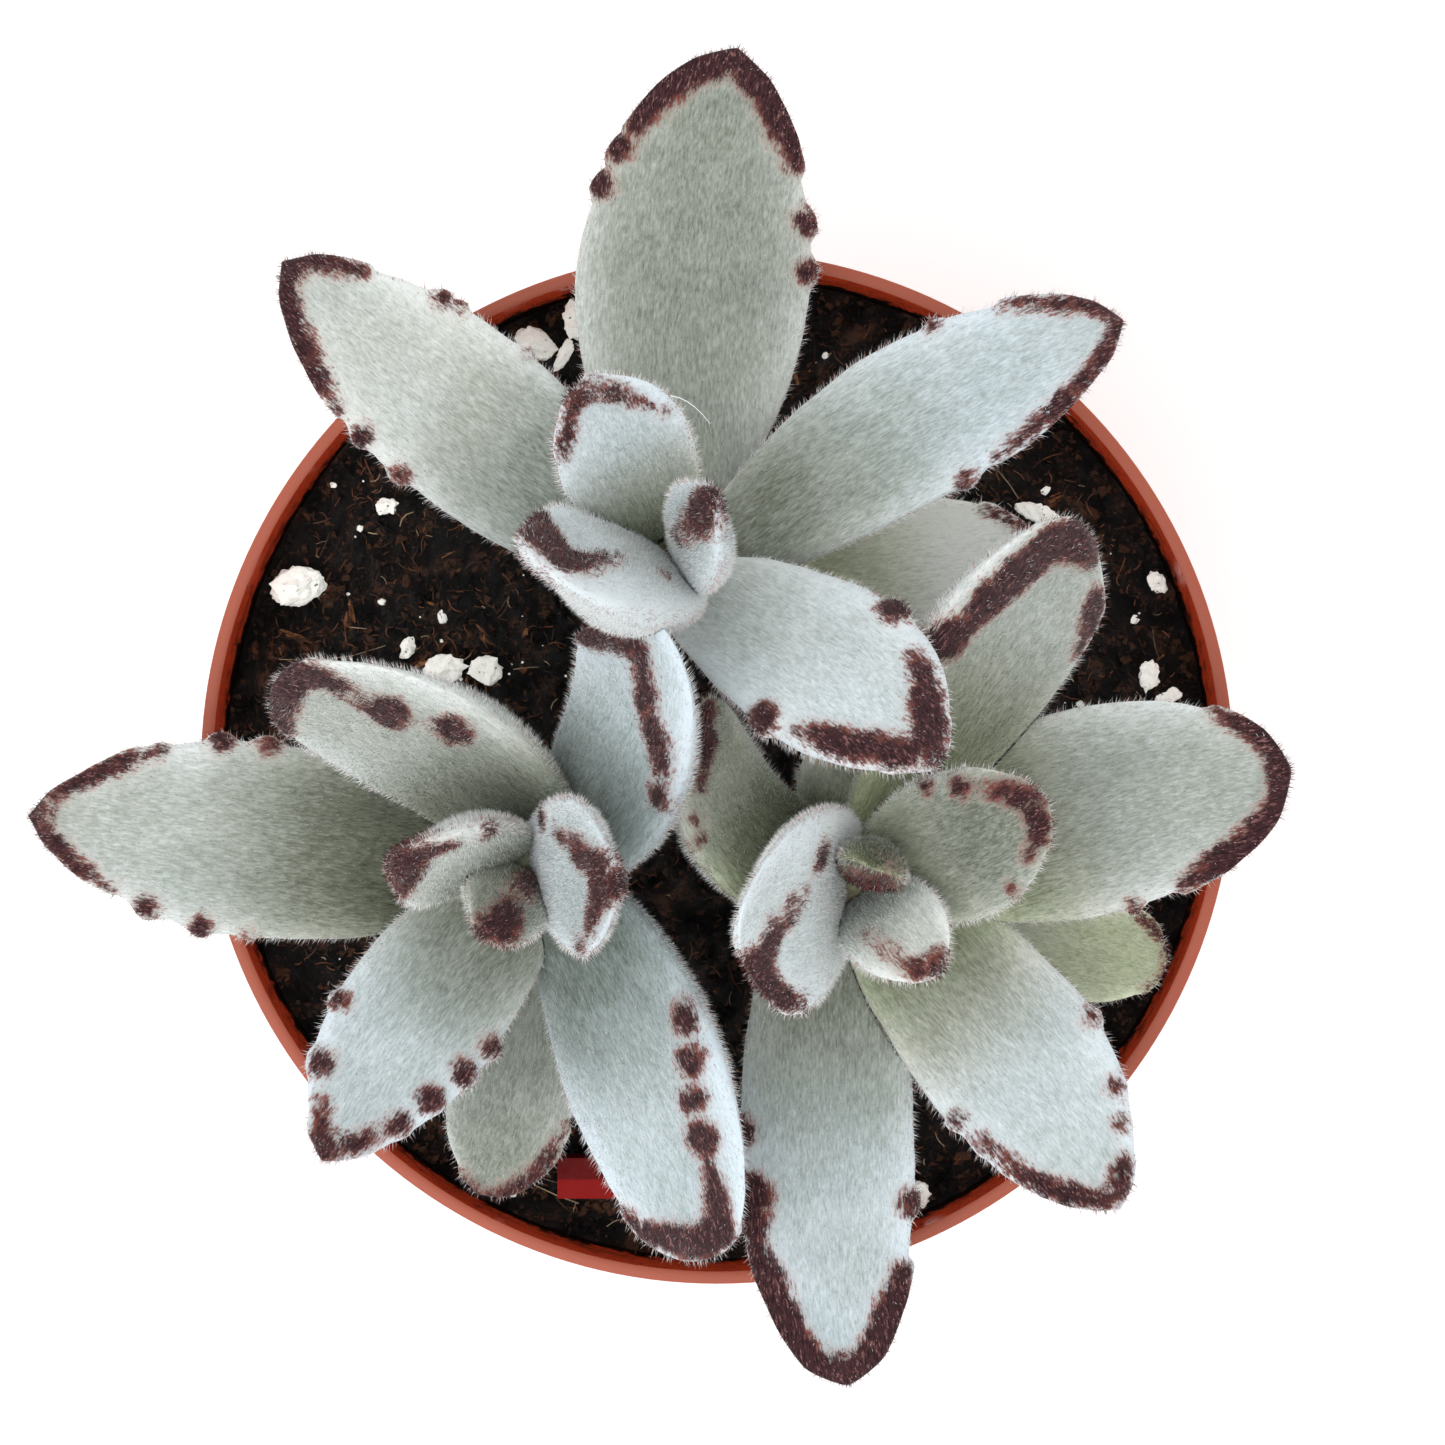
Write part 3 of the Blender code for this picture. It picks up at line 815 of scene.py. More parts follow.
    @staticmethod
    def corners_of(piece: bpy.types.Object) -> np.ndarray:
        """A piece's corner places in millimetres.

        Args:
            piece: the piece.

        Returns:
            The places, one row a corner.
        """
        places = np.empty(len(piece.data.vertices) * 3)
        piece.data.vertices.foreach_get("co", places)
        return places.reshape(-1, 3) / MM

    @staticmethod
    def set_corners(piece: bpy.types.Object, places: np.ndarray) -> None:
        """Move a piece's corners to those places in millimetres."""
        piece.data.vertices.foreach_set("co", (places * MM).ravel())
        piece.data.update()

    @staticmethod
    def tree(piece: bpy.types.Object) -> BVHTree:
        """A search tree of a piece's faces, in millimetres."""
        corners = [Vector(p) for p in Bench.corners_of(piece)]
        return BVHTree.FromPolygons(corners, [f.vertices for f in piece.data.polygons])

    @staticmethod
    def paint_faces(piece: bpy.types.Object, slots: np.ndarray) -> None:
        """Give each face of a piece its material slot."""
        piece.data.polygons.foreach_set("material_index", slots.astype(np.int32))

    @staticmethod
    def blank_of(piece: bpy.types.Object) -> tuple[np.ndarray, np.ndarray]:
        """The corners and the faces of a modelled blank, which is then removed.

        Args:
            piece: the blank.

        Returns:
            Its corners and its faces.
        """
        corners = np.array([v.co for v in piece.data.vertices])
        faces = np.array([tuple(f.vertices) for f in piece.data.polygons])
        bpy.data.objects.remove(piece)
        return corners, faces

    @staticmethod
    def repeated(faces: np.ndarray, corner_count: int, copies: int) -> np.ndarray:
        """The faces of that many copies of a blank, whose corners follow each other.

        Args:
            faces: the blank's faces.
            corner_count: how many corners it has.
            copies: how many copies there are.

        Returns:
            The faces of all.
        """
        numbers = np.arange(copies)[:, None, None] * corner_count
        return (faces[None] + numbers).reshape(-1, faces.shape[1])


def noise_at(places: np.ndarray, size: float, shift: float = 0.0) -> np.ndarray:
    """Soft noise from about -1 to 1 at each place, with lumps of that size."""
    away = Vector((0.0, 0.0, shift))
    return np.array([noise.noise(Vector(p) / size + away) for p in places])


# Leaves

LEAF_WIDEST_AT = 0.52
LEAF_ROOT_WIDTH = 0.28
LEAF_SWELL = 0.28
LEAF_SWELL_END = 0.8
LEAF_THINS_FROM = 0.45
LEAF_THINNING = 0.72
LEAF_ROOT_DEPTH = 2.0
UPPER_SHARE = 0.36
BLANK_SIDES = 28
BLANK_RINGS = 70
BLANK_TIP_SHARE = 0.9985  # where the last ring lies
BLANK_CROWDING = 1.35  # above 1 the rings crowd towards the tip
LEAF_SPACING = 40.0  # keeps the leaves' patterns apart
BEADS_A_STEP = 10  # beads for each point of a stripe
BAND_BEADS = 40
MARK_REACH = -4.0  # a mark's ragged edge is worked out from this far outside it
WHITENS_BETWEEN = (0.1, 0.72)  # shares of the length between which the felt turns whiter; the darker stem end is partly painted shade
COOLS_BETWEEN = (0.15, 0.65)
# painted sheen: how much paler the felt is painted at the margins, as felt seen edge-on looks
PAINTED_MARGIN_SHEEN = 0.34

# stem: foot x, y at the soil, then tip x, y and height above the rim
STEMS = {
    "a": (-2.0, 17.5, -4.6, 20.0, 24.0),
    "b": (-17.5, -10.5, -18.6, -8.4, 23.0),
    "c": (14.0, -12.5, 12.8, -10.6, 24.0),
}


@dataclass(frozen=True)
class Marks:
    """A leaf's brown marks.

    A place is (share of the length, angle round the leaf in degrees): 0 and 180 are the two
    margins, 90 the middle of the upper face. Spots are (share, angle, radius) and stripes are
    runs of such spots. The band runs round the tip from one margin to the other: the shares
    where it starts on each, and its radius, 0 for none.
    """

    band: tuple[float, float, float] = (0.9, 0.9, 0.0)
    spots: tuple = ()
    stripes: tuple = ()


class Felt(Enum):
    """The kinds of felt: how white at the stem and at the tip, then how blue at both.

    White runs from 0, thin over green skin, to 1, thick and white; it also carries painted light and
    shade, lower where the leaves shade each other and higher where they are lit. Blue is below 0 for
    olive.
    """

    GREY = ((0.6, 0.5), (0.2, 0.2))
    PALE = ((0.35, 0.8), (0.5, 0.2))
    SHADED = ((0.1, 0.7), (-0.3, 0.3))
    BLUE_TIPPED = ((0.4, 0.8), (0.1, 0.9))
    FROSTED = ((0.8, 0.9), (0.5, 0.7))
    BLUE = ((0.3, 0.8), (1.0, 1.0))
    ICY = ((0.9, 0.7), (1.1, 0.9))
    FRESH = ((0.3, 0.65), (-1.0, 0.35))
    SPRING = ((0.4, 0.85), (-0.7, 0.8))
    MOSSY = ((0.0, 0.6), (-1.0, -0.2))
    OLIVE = ((0.6, 0.4), (-0.8, 0.1))
    LOW = ((0.7, 1.0), (-1.0, 0.0))
    YELLOWED = ((1.0, 0.7), (0.0, -0.8))
    BUD = ((0.25, 0.1), (0.0, -1.0))

    @property
    def white(self) -> tuple[float, float]:
        """How white the felt is at the stem and at the tip."""
        return self.value[0]

    @property
    def blue(self) -> tuple[float, float]:
        """How blue the felt is at the stem and at the tip."""
        return self.value[1]


@dataclass(frozen=True)
class Leaf:
    """One thick felted leaf, with the form of its CAD node. See leaf() for its fields."""

    name: str
    root: tuple[float, float]
    middle: Place
    tip: Place
    facing: tuple[float, float]
    section: tuple[float, float, float]
    ends: tuple[float, float]
    felt: Felt
    marks: Marks = field(default_factory=Marks)

    @property
    def guide(self) -> tuple[np.ndarray, np.ndarray, np.ndarray]:
        """Start, control point and end of the midrib's curve.

        Returns:
            The three places.
        """
        height, turn = self.root
        foot_x, foot_y, tip_x, tip_y, tip_height = STEMS[self.name[0]]
        share = max((height + SOIL_DROP) / (tip_height + SOIL_DROP), 0.0)
        bend = share**STEM_CURVE
        radius = STEM_FOOT_RADIUS + (STEM_TOP_RADIUS - STEM_FOOT_RADIUS) * share
        axis = np.array(
            (foot_x + (tip_x - foot_x) * bend, foot_y + (tip_y - foot_y) * bend, POT_HEIGHT + height)
        )
        outward = np.array((math.cos(math.radians(turn)), math.sin(math.radians(turn)), 0))
        start = axis + outward * (radius + FIT_GAP - LEAF_ROOT_DEPTH)
        lift = np.array((0, 0, POT_HEIGHT))
        end = np.array(self.tip) + lift
        return start, (np.array(self.middle) + lift) * 2 - (start + end) / 2, end

    @property
    def length(self) -> float:
        """The midrib's length."""
        points = self.midrib(np.linspace(0, 1, 25))
        return float(np.linalg.norm(np.diff(points, axis=0), axis=1).sum())

    def midrib(self, share: np.ndarray) -> np.ndarray:
        """Points of the midrib, from 0 at the stem to 1 at the tip.

        Args:
            share: places along the leaf, 0 to 1.

        Returns:
            The points.
        """
        start, control, end = self.guide
        share = np.asarray(share)[:, None]
        rest = 1 - share
        return start * rest**2 + control * 2 * rest * share + end * share**2

    def frames(self, share: np.ndarray) -> tuple[np.ndarray, np.ndarray, np.ndarray]:
        """Directions across the leaf, along it and out of its upper face.

        Args:
            share: places along the leaf, 0 to 1.

        Returns:
            Three unit vectors a place.
        """
        start, control, end = self.guide
        share = np.asarray(share)[:, None]
        along = (control - start) * (1 - share) + (end - control) * share
        along /= np.linalg.norm(along, axis=1, keepdims=True)
        around, up = (math.radians(a) for a in self.facing)
        face = (math.cos(around) * math.cos(up), math.sin(around) * math.cos(up), math.sin(up))
        across = np.cross(np.array(face), along)
        across /= np.linalg.norm(across, axis=1, keepdims=True)
        return across, along, np.cross(along, across)

    def half_width(self, share: np.ndarray) -> np.ndarray:
        """Half the leaf's width.

        Args:
            share: places along the leaf, 0 to 1.

        Returns:
            The half width at each.
        """
        waist, sharpness = self.ends
        inner = np.sin(math.pi / 2 * np.clip(share, 0, LEAF_WIDEST_AT) / LEAF_WIDEST_AT) ** waist
        inner = LEAF_ROOT_WIDTH + (1 - LEAF_ROOT_WIDTH) * inner
        out = np.clip((share - LEAF_WIDEST_AT) / (1 - LEAF_WIDEST_AT), 0, 1)
        outer = (1 - out**2) ** sharpness
        return self.section[0] / 2 * np.where(share < LEAF_WIDEST_AT, inner, outer)

    def depth(self, share: np.ndarray) -> np.ndarray:
        """The leaf's thickness.

        Args:
            share: places along the leaf, 0 to 1.

        Returns:
            The thickness at each.
        """
        swell = np.sin(math.pi * np.minimum(share / LEAF_SWELL_END, 1.0))
        thins = 1 - LEAF_THINNING * smoothstep(LEAF_THINS_FROM, 1.0, share)
        return self.section[1] * ((1 - LEAF_SWELL) + LEAF_SWELL * swell) * thins

    def surface(
        self, share: np.ndarray, angle: np.ndarray, reach: Number = 1.0, extra: float = 0.0
    ) -> np.ndarray:
        """Points of the leaf's surface.

        Args:
            share: places along the leaf, 0 to 1.
            angle: places round it, in radians.
            reach: 1 on the surface and 0 on the midrib's line.
            extra: how much larger the leaf is on every side.

        Returns:
            The points, in millimetres.
        """
        across, _, over = self.frames(share)
        half = self.half_width(share)
        upper = np.sin(angle) > 0
        thick = self.depth(share) * np.where(upper, UPPER_SHARE, 1 - UPPER_SHARE)
        sideways = (half + extra) * np.cos(angle) * reach
        rise = ((thick + extra) * np.sin(angle) + self.section[2] * half * np.cos(angle) ** 2) * reach
        return self.midrib(share) + across * sideways[:, None] + over * rise[:, None]

    def tone(self, share: np.ndarray, angle: np.ndarray) -> np.ndarray:
        """How white the felt is: from the stem's tone to the tip's, and paler at the margins. The
        darker stem end is partly painted shade, and the paler margins are a painted sheen.

        Args:
            share: places along the leaf, 0 to 1.
            angle: the angles round it.

        Returns:
            The tone at each place.
        """
        base, tip = self.felt.white
        # darker towards the stem: partly the felt's own green, partly painted shade where the leaves
        # overlap
        whitened = base + (tip - base) * smoothstep(*WHITENS_BETWEEN, share)
        # paler at the margins: a painted sheen
        return whitened + PAINTED_MARGIN_SHEEN * np.abs(np.cos(angle)) ** 4

    def cool(self, share: np.ndarray) -> np.ndarray:
        """How blue the felt is, below 0 for olive: from the stem's value to the tip's."""
        base, tip = self.felt.blue
        return base + (tip - base) * smoothstep(*COOLS_BETWEEN, share)

    def stroke(self, places: Sequence[tuple[float, float, float]]) -> np.ndarray:
        """A stripe as close beads: place and radius of each.

        Args:
            places: the stripe's points: share, angle and radius.

        Returns:
            The beads.
        """
        steps = np.linspace(0, len(places) - 1, BEADS_A_STEP * len(places))
        share, angle, radius = (
            np.interp(steps, range(len(places)), values) for values in np.array(places, float).T
        )
        return np.column_stack((self.surface(share, np.radians(angle)), radius))

    def beads(self) -> np.ndarray:
        """Every mark of the leaf as beads: place and radius of each.

        Returns:
            The beads.
        """
        start, far_start, width = self.marks.band
        made = []
        for share, angle, radius in self.marks.spots:
            made.append([*self.surface(np.array([share]), np.radians([angle]))[0], radius])
        for places in self.marks.stripes:
            made.extend(self.stroke(places))
        if width:
            for side, first in ((1, start), (-1, far_start)):
                share = np.linspace(first, 1.0, BAND_BEADS)
                grown = width * (0.55 + 0.45 * smoothstep(first, min(first + 0.1, 0.99), share))
                above = np.radians(4 + 14 * (1 - share) / (1 - first))
                points = self.surface(share, above if side > 0 else math.pi - above)
                made.extend(np.column_stack((points, grown)))
        return np.array(made) if made else np.empty((0, 4))

    def mark_depth(self, places: np.ndarray) -> np.ndarray:
        """How far inside a brown mark each place lies, in millimetres, below 0 outside.

        Args:
            places: places on the leaf.

        Returns:
            The depth at each.
        """
        inside = np.full(len(places), MARK_REACH - 2.0)
        for bead in self.beads():
            away = np.linalg.norm(places - bead[:3], axis=1)
            inside = np.maximum(inside, bead[3] - away)
        near = inside > MARK_REACH
        inside[near] += 0.45 * noise_at(places[near], 2.4) + 0.2 * noise_at(places[near], 0.9, 5.0)
        return inside


def leaf(
    name: str,
    root: tuple[float, float],
    middle: Place,
    tip: Place,
    facing: tuple[float, float],
    section: tuple[float, float, float],
    ends: tuple[float, float],
    felt: Felt,
    band: tuple[float, float, float] = (0.9, 0.9, 0.0),
    spots: tuple = (),
    stripes: tuple = (),
) -> Leaf:
    """One row of the table of leaves.

    Args:
        name: its stem's letter and its number.
        root: height above the rim and direction in degrees where it leaves the stem.
        middle: middle of the midrib as x, y and height above the rim.
        tip: the tip in the same way.
        facing: direction and elevation in degrees that the upper face looks in.
        section: width, thickness, and how far the margins rise as a share of the half width.
        ends: how fast the inner half narrows, and how sharp the tip is.
        felt: its kind of felt.
        band: where the brown band starts on each margin, and its width.
        spots: brown spots.
        stripes: brown stripes.

    Returns:
        The leaf.
    """
    return Leaf(name, root, middle, tip, facing, section, ends, felt, Marks(band, spots, stripes))


LEAVES = (
    leaf("a1", (4.5, 88), (-2.5, 46.5, 10.0), (2.0, 70.5, 15.0), (268, 82), (23.0, 5.2, 0.05),
         (1.30, 0.75), Felt.GREY, band=(0.80, 0.80, 2.1), spots=((0.58, 170, 1.4),
         (0.68, 168, 1.6), (0.69, 12, 1.6), (0.76, 14, 1.6)), stripes=(((0.90, 20, 1.2),
         (0.97, 60, 1.8), (0.97, 120, 1.8), (0.90, 160, 1.2)),)),
    leaf("a2", (7.0, 150), (-24.3, 34.2, 13.0), (-42.2, 49.3, 18.0), (323, 76), (17.4, 5.0, 0.05),
         (0.68, 0.85), Felt.PALE, band=(0.72, 0.86, 1.3), spots=((0.54, 16, 1.3),
         (0.65, 14, 1.3), (0.70, 172, 1.2), (0.66, 174, 0.8), (0.50, 174, 0.6)),
         stripes=(((0.97, 60, 1.2), (0.97, 120, 1.2)),)),
    leaf("a3", (10.0, 30), (18.5, 33.4, 17.0), (39.0, 43.2, 22.0), (150, 74), (16.0, 5.0, 0.05),
         (0.75, 0.80), Felt.BLUE_TIPPED, band=(0.78, 0.64, 1.1), spots=((0.64, 12, 1.0),
         (0.56, 168, 1.1))),
    leaf("a4", (0.0, 0), (19.0, 20.0, 2.5), (32.5, 22.5, 5.0), (180, 84), (14.0, 4.4, 0.03),
         (1.00, 0.85), Felt.LOW, band=(0.80, 0.94, 0.8)),
    leaf("a5", (13.0, -75), (11.0, 9.4, 28.0), (20.3, 0.2, 36.0), (120, 56), (17.0, 5.2, 0.05),
         (0.50, 0.92), Felt.FROSTED, spots=((0.52, 12, 1.9), (0.47, 162, 2.0)),
         stripes=(((0.58, 142, 0.9), (0.68, 136, 1.6), (0.75, 130, 1.7), (0.82, 122, 1.7),
         (0.89, 112, 1.8), (0.93, 82, 1.9), (0.86, 60, 1.8), (0.78, 54, 1.7), (0.72, 48, 1.4),
         (0.66, 42, 0.8)),)),
    leaf("a6", (17.5, 115), (-8.6, 29.6, 34.0), (-11.8, 36.0, 42.0), (300, 38), (13.0, 4.8, 0.12),
         (0.80, 0.80), Felt.SPRING, spots=((0.63, 144, 0.6),), stripes=(((0.66, 30, 0.4),
         (0.75, 34, 0.8), (0.84, 42, 1.0), (0.92, 50, 1.3), (0.93, 88, 1.1), (0.86, 110, 1.1),
         (0.77, 120, 0.9), (0.69, 132, 0.4)),)),
    leaf("a7", (20.0, -75), (-10.2, 18.6, 36.0), (-17.8, 21.8, 42.0), (55, 26), (15.0, 7.4, 0.10),
         (0.60, 0.45), Felt.FROSTED, spots=((0.36, 66, 0.8),),
         stripes=(((0.94, 165, 1.3), (0.92, 112, 1.6), (0.89, 80, 2.4), (0.83, 62, 2.3),
         (0.76, 66, 1.6), (0.65, 76, 1.1), (0.56, 80, 0.5)),)),
    leaf("a8", (21.0, 15), (-1.6, 22.0, 35.0), (-1.0, 26.2, 42.0), (200, 18), (9.6, 4.6, 0.12),
         (0.80, 0.85), Felt.ICY, stripes=(((0.92, 124, 1.7), (0.84, 112, 2.1),
         (0.69, 92, 1.5), (0.56, 86, 1.0), (0.43, 80, 0.4)),)),
    leaf("b1", (5.0, 182), (-45.0, -7.0, 12.0), (-67.0, -4.5, 17.0), (0, 78), (19.2, 5.2, 0.05),
         (0.70, 0.95), Felt.SHADED, band=(0.80, 0.72, 1.1), spots=((0.50, 12, 0.7),
         (0.60, 14, 1.3), (0.72, 14, 1.3), (0.51, 172, 1.3), (0.60, 172, 1.4)),
         stripes=(((0.96, 60, 1.1), (0.96, 120, 1.1)),)),
    leaf("b2", (12.5, 100), (-27.0, 2.2, 23.0), (-42.0, 7.8, 29.0), (245, 38), (20.5, 6.8, 0.05),
         (0.55, 0.45), Felt.SHADED, spots=((0.57, 130, 2.2), (0.71, 114, 2.5)),
         stripes=(((0.78, 110, 0.9), (0.82, 116, 1.5), (0.89, 130, 1.6), (0.95, 140, 2.1),
         (0.97, 90, 2.0), (0.96, 44, 1.5), (0.92, 12, 0.9)),)),
    leaf("b3", (8.0, 240), (-29.0, -24.0, 16.0), (-38.0, -37.6, 21.0), (55, 66), (15.8, 5.0, 0.05),
         (0.45, 0.80), Felt.BLUE_TIPPED, spots=((0.46, 18, 1.1), (0.57, 30, 1.4),
         (0.68, 40, 1.4), (0.80, 42, 1.3), (0.60, 156, 1.2), (0.77, 146, 1.4)),
         stripes=(((0.86, 132, 0.8), (0.94, 128, 1.2), (0.96, 86, 1.4), (0.91, 54, 1.2),
         (0.84, 46, 0.9)),)),
    leaf("b4", (-1.0, 268), (-20.5, -31.5, 1.5), (-24.2, -43.0, 2.5), (80, 84), (13.0, 4.2, 0.03),
         (1.00, 0.80), Felt.GREY, band=(0.62, 0.92, 0.8)),
    leaf("b5", (9.0, -20), (-7.3, -28.5, 17.0), (-1.0, -47.1, 21.0), (175, 46), (20.5, 6.6, 0.05),
         (0.80, 0.40), Felt.BLUE, spots=((0.48, 32, 1.8), (0.57, 44, 1.9),
         (0.64, 54, 1.9), (0.73, 58, 2.2)), stripes=(((0.80, 60, 1.1), (0.88, 58, 1.8),
         (0.94, 56, 2.0), (0.96, 86, 2.0), (0.93, 124, 1.7), (0.88, 160, 1.2), (0.82, 172, 0.7)),)),
    leaf("b6", (12.0, 0), (-8.0, 3.6, 27.0), (-9.5, 15.0, 34.0), (188, 44), (17.6, 6.4, 0.06),
         (0.45, 0.42), Felt.BLUE, spots=((0.47, 146, 1.5),),
         stripes=(((0.53, 138, 0.9), (0.56, 134, 1.6), (0.61, 124, 1.8), (0.66, 114, 1.5),
         (0.71, 110, 1.8), (0.76, 104, 1.4), (0.81, 106, 1.4), (0.86, 108, 1.6), (0.89, 96, 1.6),
         (0.89, 74, 1.4), (0.91, 42, 1.4), (0.91, 8, 1.3)),)),
    leaf("b7", (18.5, 150), (-24.5, -8.1, 32.0), (-30.5, -9.0, 37.0), (300, 26), (12.0, 5.0, 0.12),
         (0.80, 0.85), Felt.SHADED, spots=((0.57, 164, 0.9),), stripes=(((0.79, 28, 0.7),
         (0.87, 66, 1.5), (0.89, 100, 2.1), (0.88, 126, 2.2), (0.82, 134, 1.6), (0.76, 134, 1.3),
         (0.70, 138, 0.8)),)),
    leaf("b8", (20.5, 250), (-20.0, -12.5, 30.0), (-22.0, -15.0, 35.0), (50, 26), (8.5, 4.0, 0.15),
         (0.80, 0.85), Felt.OLIVE, stripes=(((0.91, 84, 1.5), (0.80, 68, 2.1),
         (0.67, 80, 1.5), (0.51, 84, 1.2), (0.35, 82, 1.5), (0.24, 74, 1.2)),)),
    leaf("b9", (20.0, 0), (-12.5, -9.5, 34.0), (-9.0, -10.0, 41.0), (185, 14), (14.5, 5.0, 0.15),
         (0.70, 0.70), Felt.ICY, spots=((0.30, 38, 1.3), (0.62, 158, 0.9)),
         stripes=(((0.44, 56, 0.6), (0.55, 62, 0.9), (0.68, 70, 1.5), (0.82, 76, 2.0),
         (0.88, 90, 2.0), (0.82, 108, 1.6), (0.74, 122, 1.0), (0.70, 132, 0.9)),)),
    leaf("c1", (6.5, 10), (35.5, -4.5, 13.0), (55.5, 0.0, 19.0), (194, 76), (20.4, 5.2, 0.04),
         (1.15, 0.60), Felt.FRESH, band=(0.86, 0.70, 1.7), spots=((0.57, 174, 0.9),),
         stripes=(((0.97, 60, 1.2), (0.97, 120, 1.4)),)),
    leaf("c2", (17.0, 28), (22.5, -7.0, 29.0), (30.6, -2.6, 35.0), (205, 46), (14.5, 4.8, 0.10),
         (0.80, 0.65), Felt.OLIVE, spots=((0.54, 30, 0.9), (0.68, 44, 1.2),
         (0.68, 150, 0.5)), stripes=(((0.76, 50, 0.6), (0.87, 60, 1.2), (0.94, 80, 1.4),
         (0.93, 108, 1.4), (0.88, 130, 1.2), (0.81, 134, 0.7)),)),
    leaf("c3", (-1.0, -18), (34.0, -17.5, 0.5), (45.5, -19.5, 2.0), (160, 84), (11.5, 4.0, 0.03),
         (1.00, 0.62), Felt.YELLOWED, band=(0.82, 0.90, 0.7)),
    leaf("c4", (7.0, -52), (28.0, -27.0, 12.0), (39.2, -42.8, 17.0), (130, 78), (18.0, 5.2, 0.05),
         (0.60, 0.78), Felt.SPRING, spots=((0.59, 14, 1.0), (0.75, 34, 1.1),
         (0.83, 40, 1.0), (0.59, 154, 1.0)), stripes=(((0.64, 154, 0.6), (0.68, 154, 1.0),
         (0.79, 156, 1.1), (0.88, 154, 1.2), (0.96, 130, 1.2), (0.96, 62, 1.1), (0.90, 46, 0.9)),)),
    leaf("c5", (4.0, -160), (10.9, -36.4, 11.0), (12.8, -60.2, 15.0), (88, 80), (17.0, 5.2, 0.05),
         (0.25, 0.60), Felt.BLUE_TIPPED, band=(0.78, 0.70, 2.1), spots=((0.49, 170, 1.8),
         (0.61, 164, 2.6), (0.66, 168, 2.2), (0.64, 8, 1.6)), stripes=(((0.97, 60, 1.8),
         (0.97, 120, 1.8)),)),
    leaf("c6", (17.0, 208), (7.4, -12.6, 33.0), (2.0, -15.9, 41.0), (352, 26), (18.6, 5.8, 0.20),
         (0.40, 0.40), Felt.FROSTED, spots=((0.50, 124, 1.6),),
         stripes=(((0.62, 102, 1.2), (0.67, 100, 1.3), (0.74, 92, 1.3), (0.82, 86, 1.8),
         (0.90, 76, 2.0), (0.94, 58, 2.0), (0.90, 40, 1.6), (0.78, 32, 1.2), (0.62, 22, 0.7)),)),
    leaf("c7", (20.0, -45), (16.8, -14.8, 30.0), (20.8, -18.8, 34.5), (130, 40), (9.8, 4.4, 0.12),
         (0.70, 0.70), Felt.PALE, stripes=(((0.44, 120, 0.3), (0.60, 116, 0.6),
         (0.75, 116, 0.9), (0.87, 118, 1.1), (0.93, 92, 1.1), (0.91, 60, 0.8)),)),
    leaf("c8", (22.0, 70), (14.5, -8.5, 32.0), (14.5, -9.0, 36.0), (250, 20), (6.5, 3.4, 0.15),
         (0.80, 0.85), Felt.BUD, stripes=(((0.30, 90, 2.2), (0.45, 98, 2.6),
         (0.60, 104, 2.0)),)),
    leaf("c9", (2.0, 100), (15.0, -2.0, 6.0), (14.0, 8.0, 11.0), (275, 78), (14.0, 4.6, 0.04),
         (1.00, 0.62), Felt.MOSSY, band=(0.78, 0.78, 1.1)),
    leaf("c10", (8.0, 165), (1.2, -4.0, 17.0), (-0.2, 7.0, 23.0), (0, 46), (13.0, 5.8, 0.06),
         (0.18, 0.65), Felt.MOSSY, spots=((0.63, 40, 0.8), (0.56, 26, 0.7)),
         stripes=(((0.95, 50, 1.6), (0.85, 72, 1.6), (0.78, 66, 1.3), (0.71, 60, 1.0)),)),
    leaf("c11", (12.0, 62), (26.5, 11.0, 20.0), (36.2, 22.0, 22.0), (315, 42), (20.5, 6.8, 0.05),
         (0.90, 0.50), Felt.FRESH, stripes=(((0.50, 32, 2.3), (0.56, 40, 1.7),
         (0.62, 44, 2.1), (0.70, 50, 2.4), (0.78, 54, 2.4), (0.87, 53, 2.5), (0.93, 60, 2.3),
         (0.93, 100, 1.3)), ((0.86, 130, 0.8), (0.79, 142, 1.8), (0.68, 144, 1.2),
         (0.61, 146, 0.7)))),
)


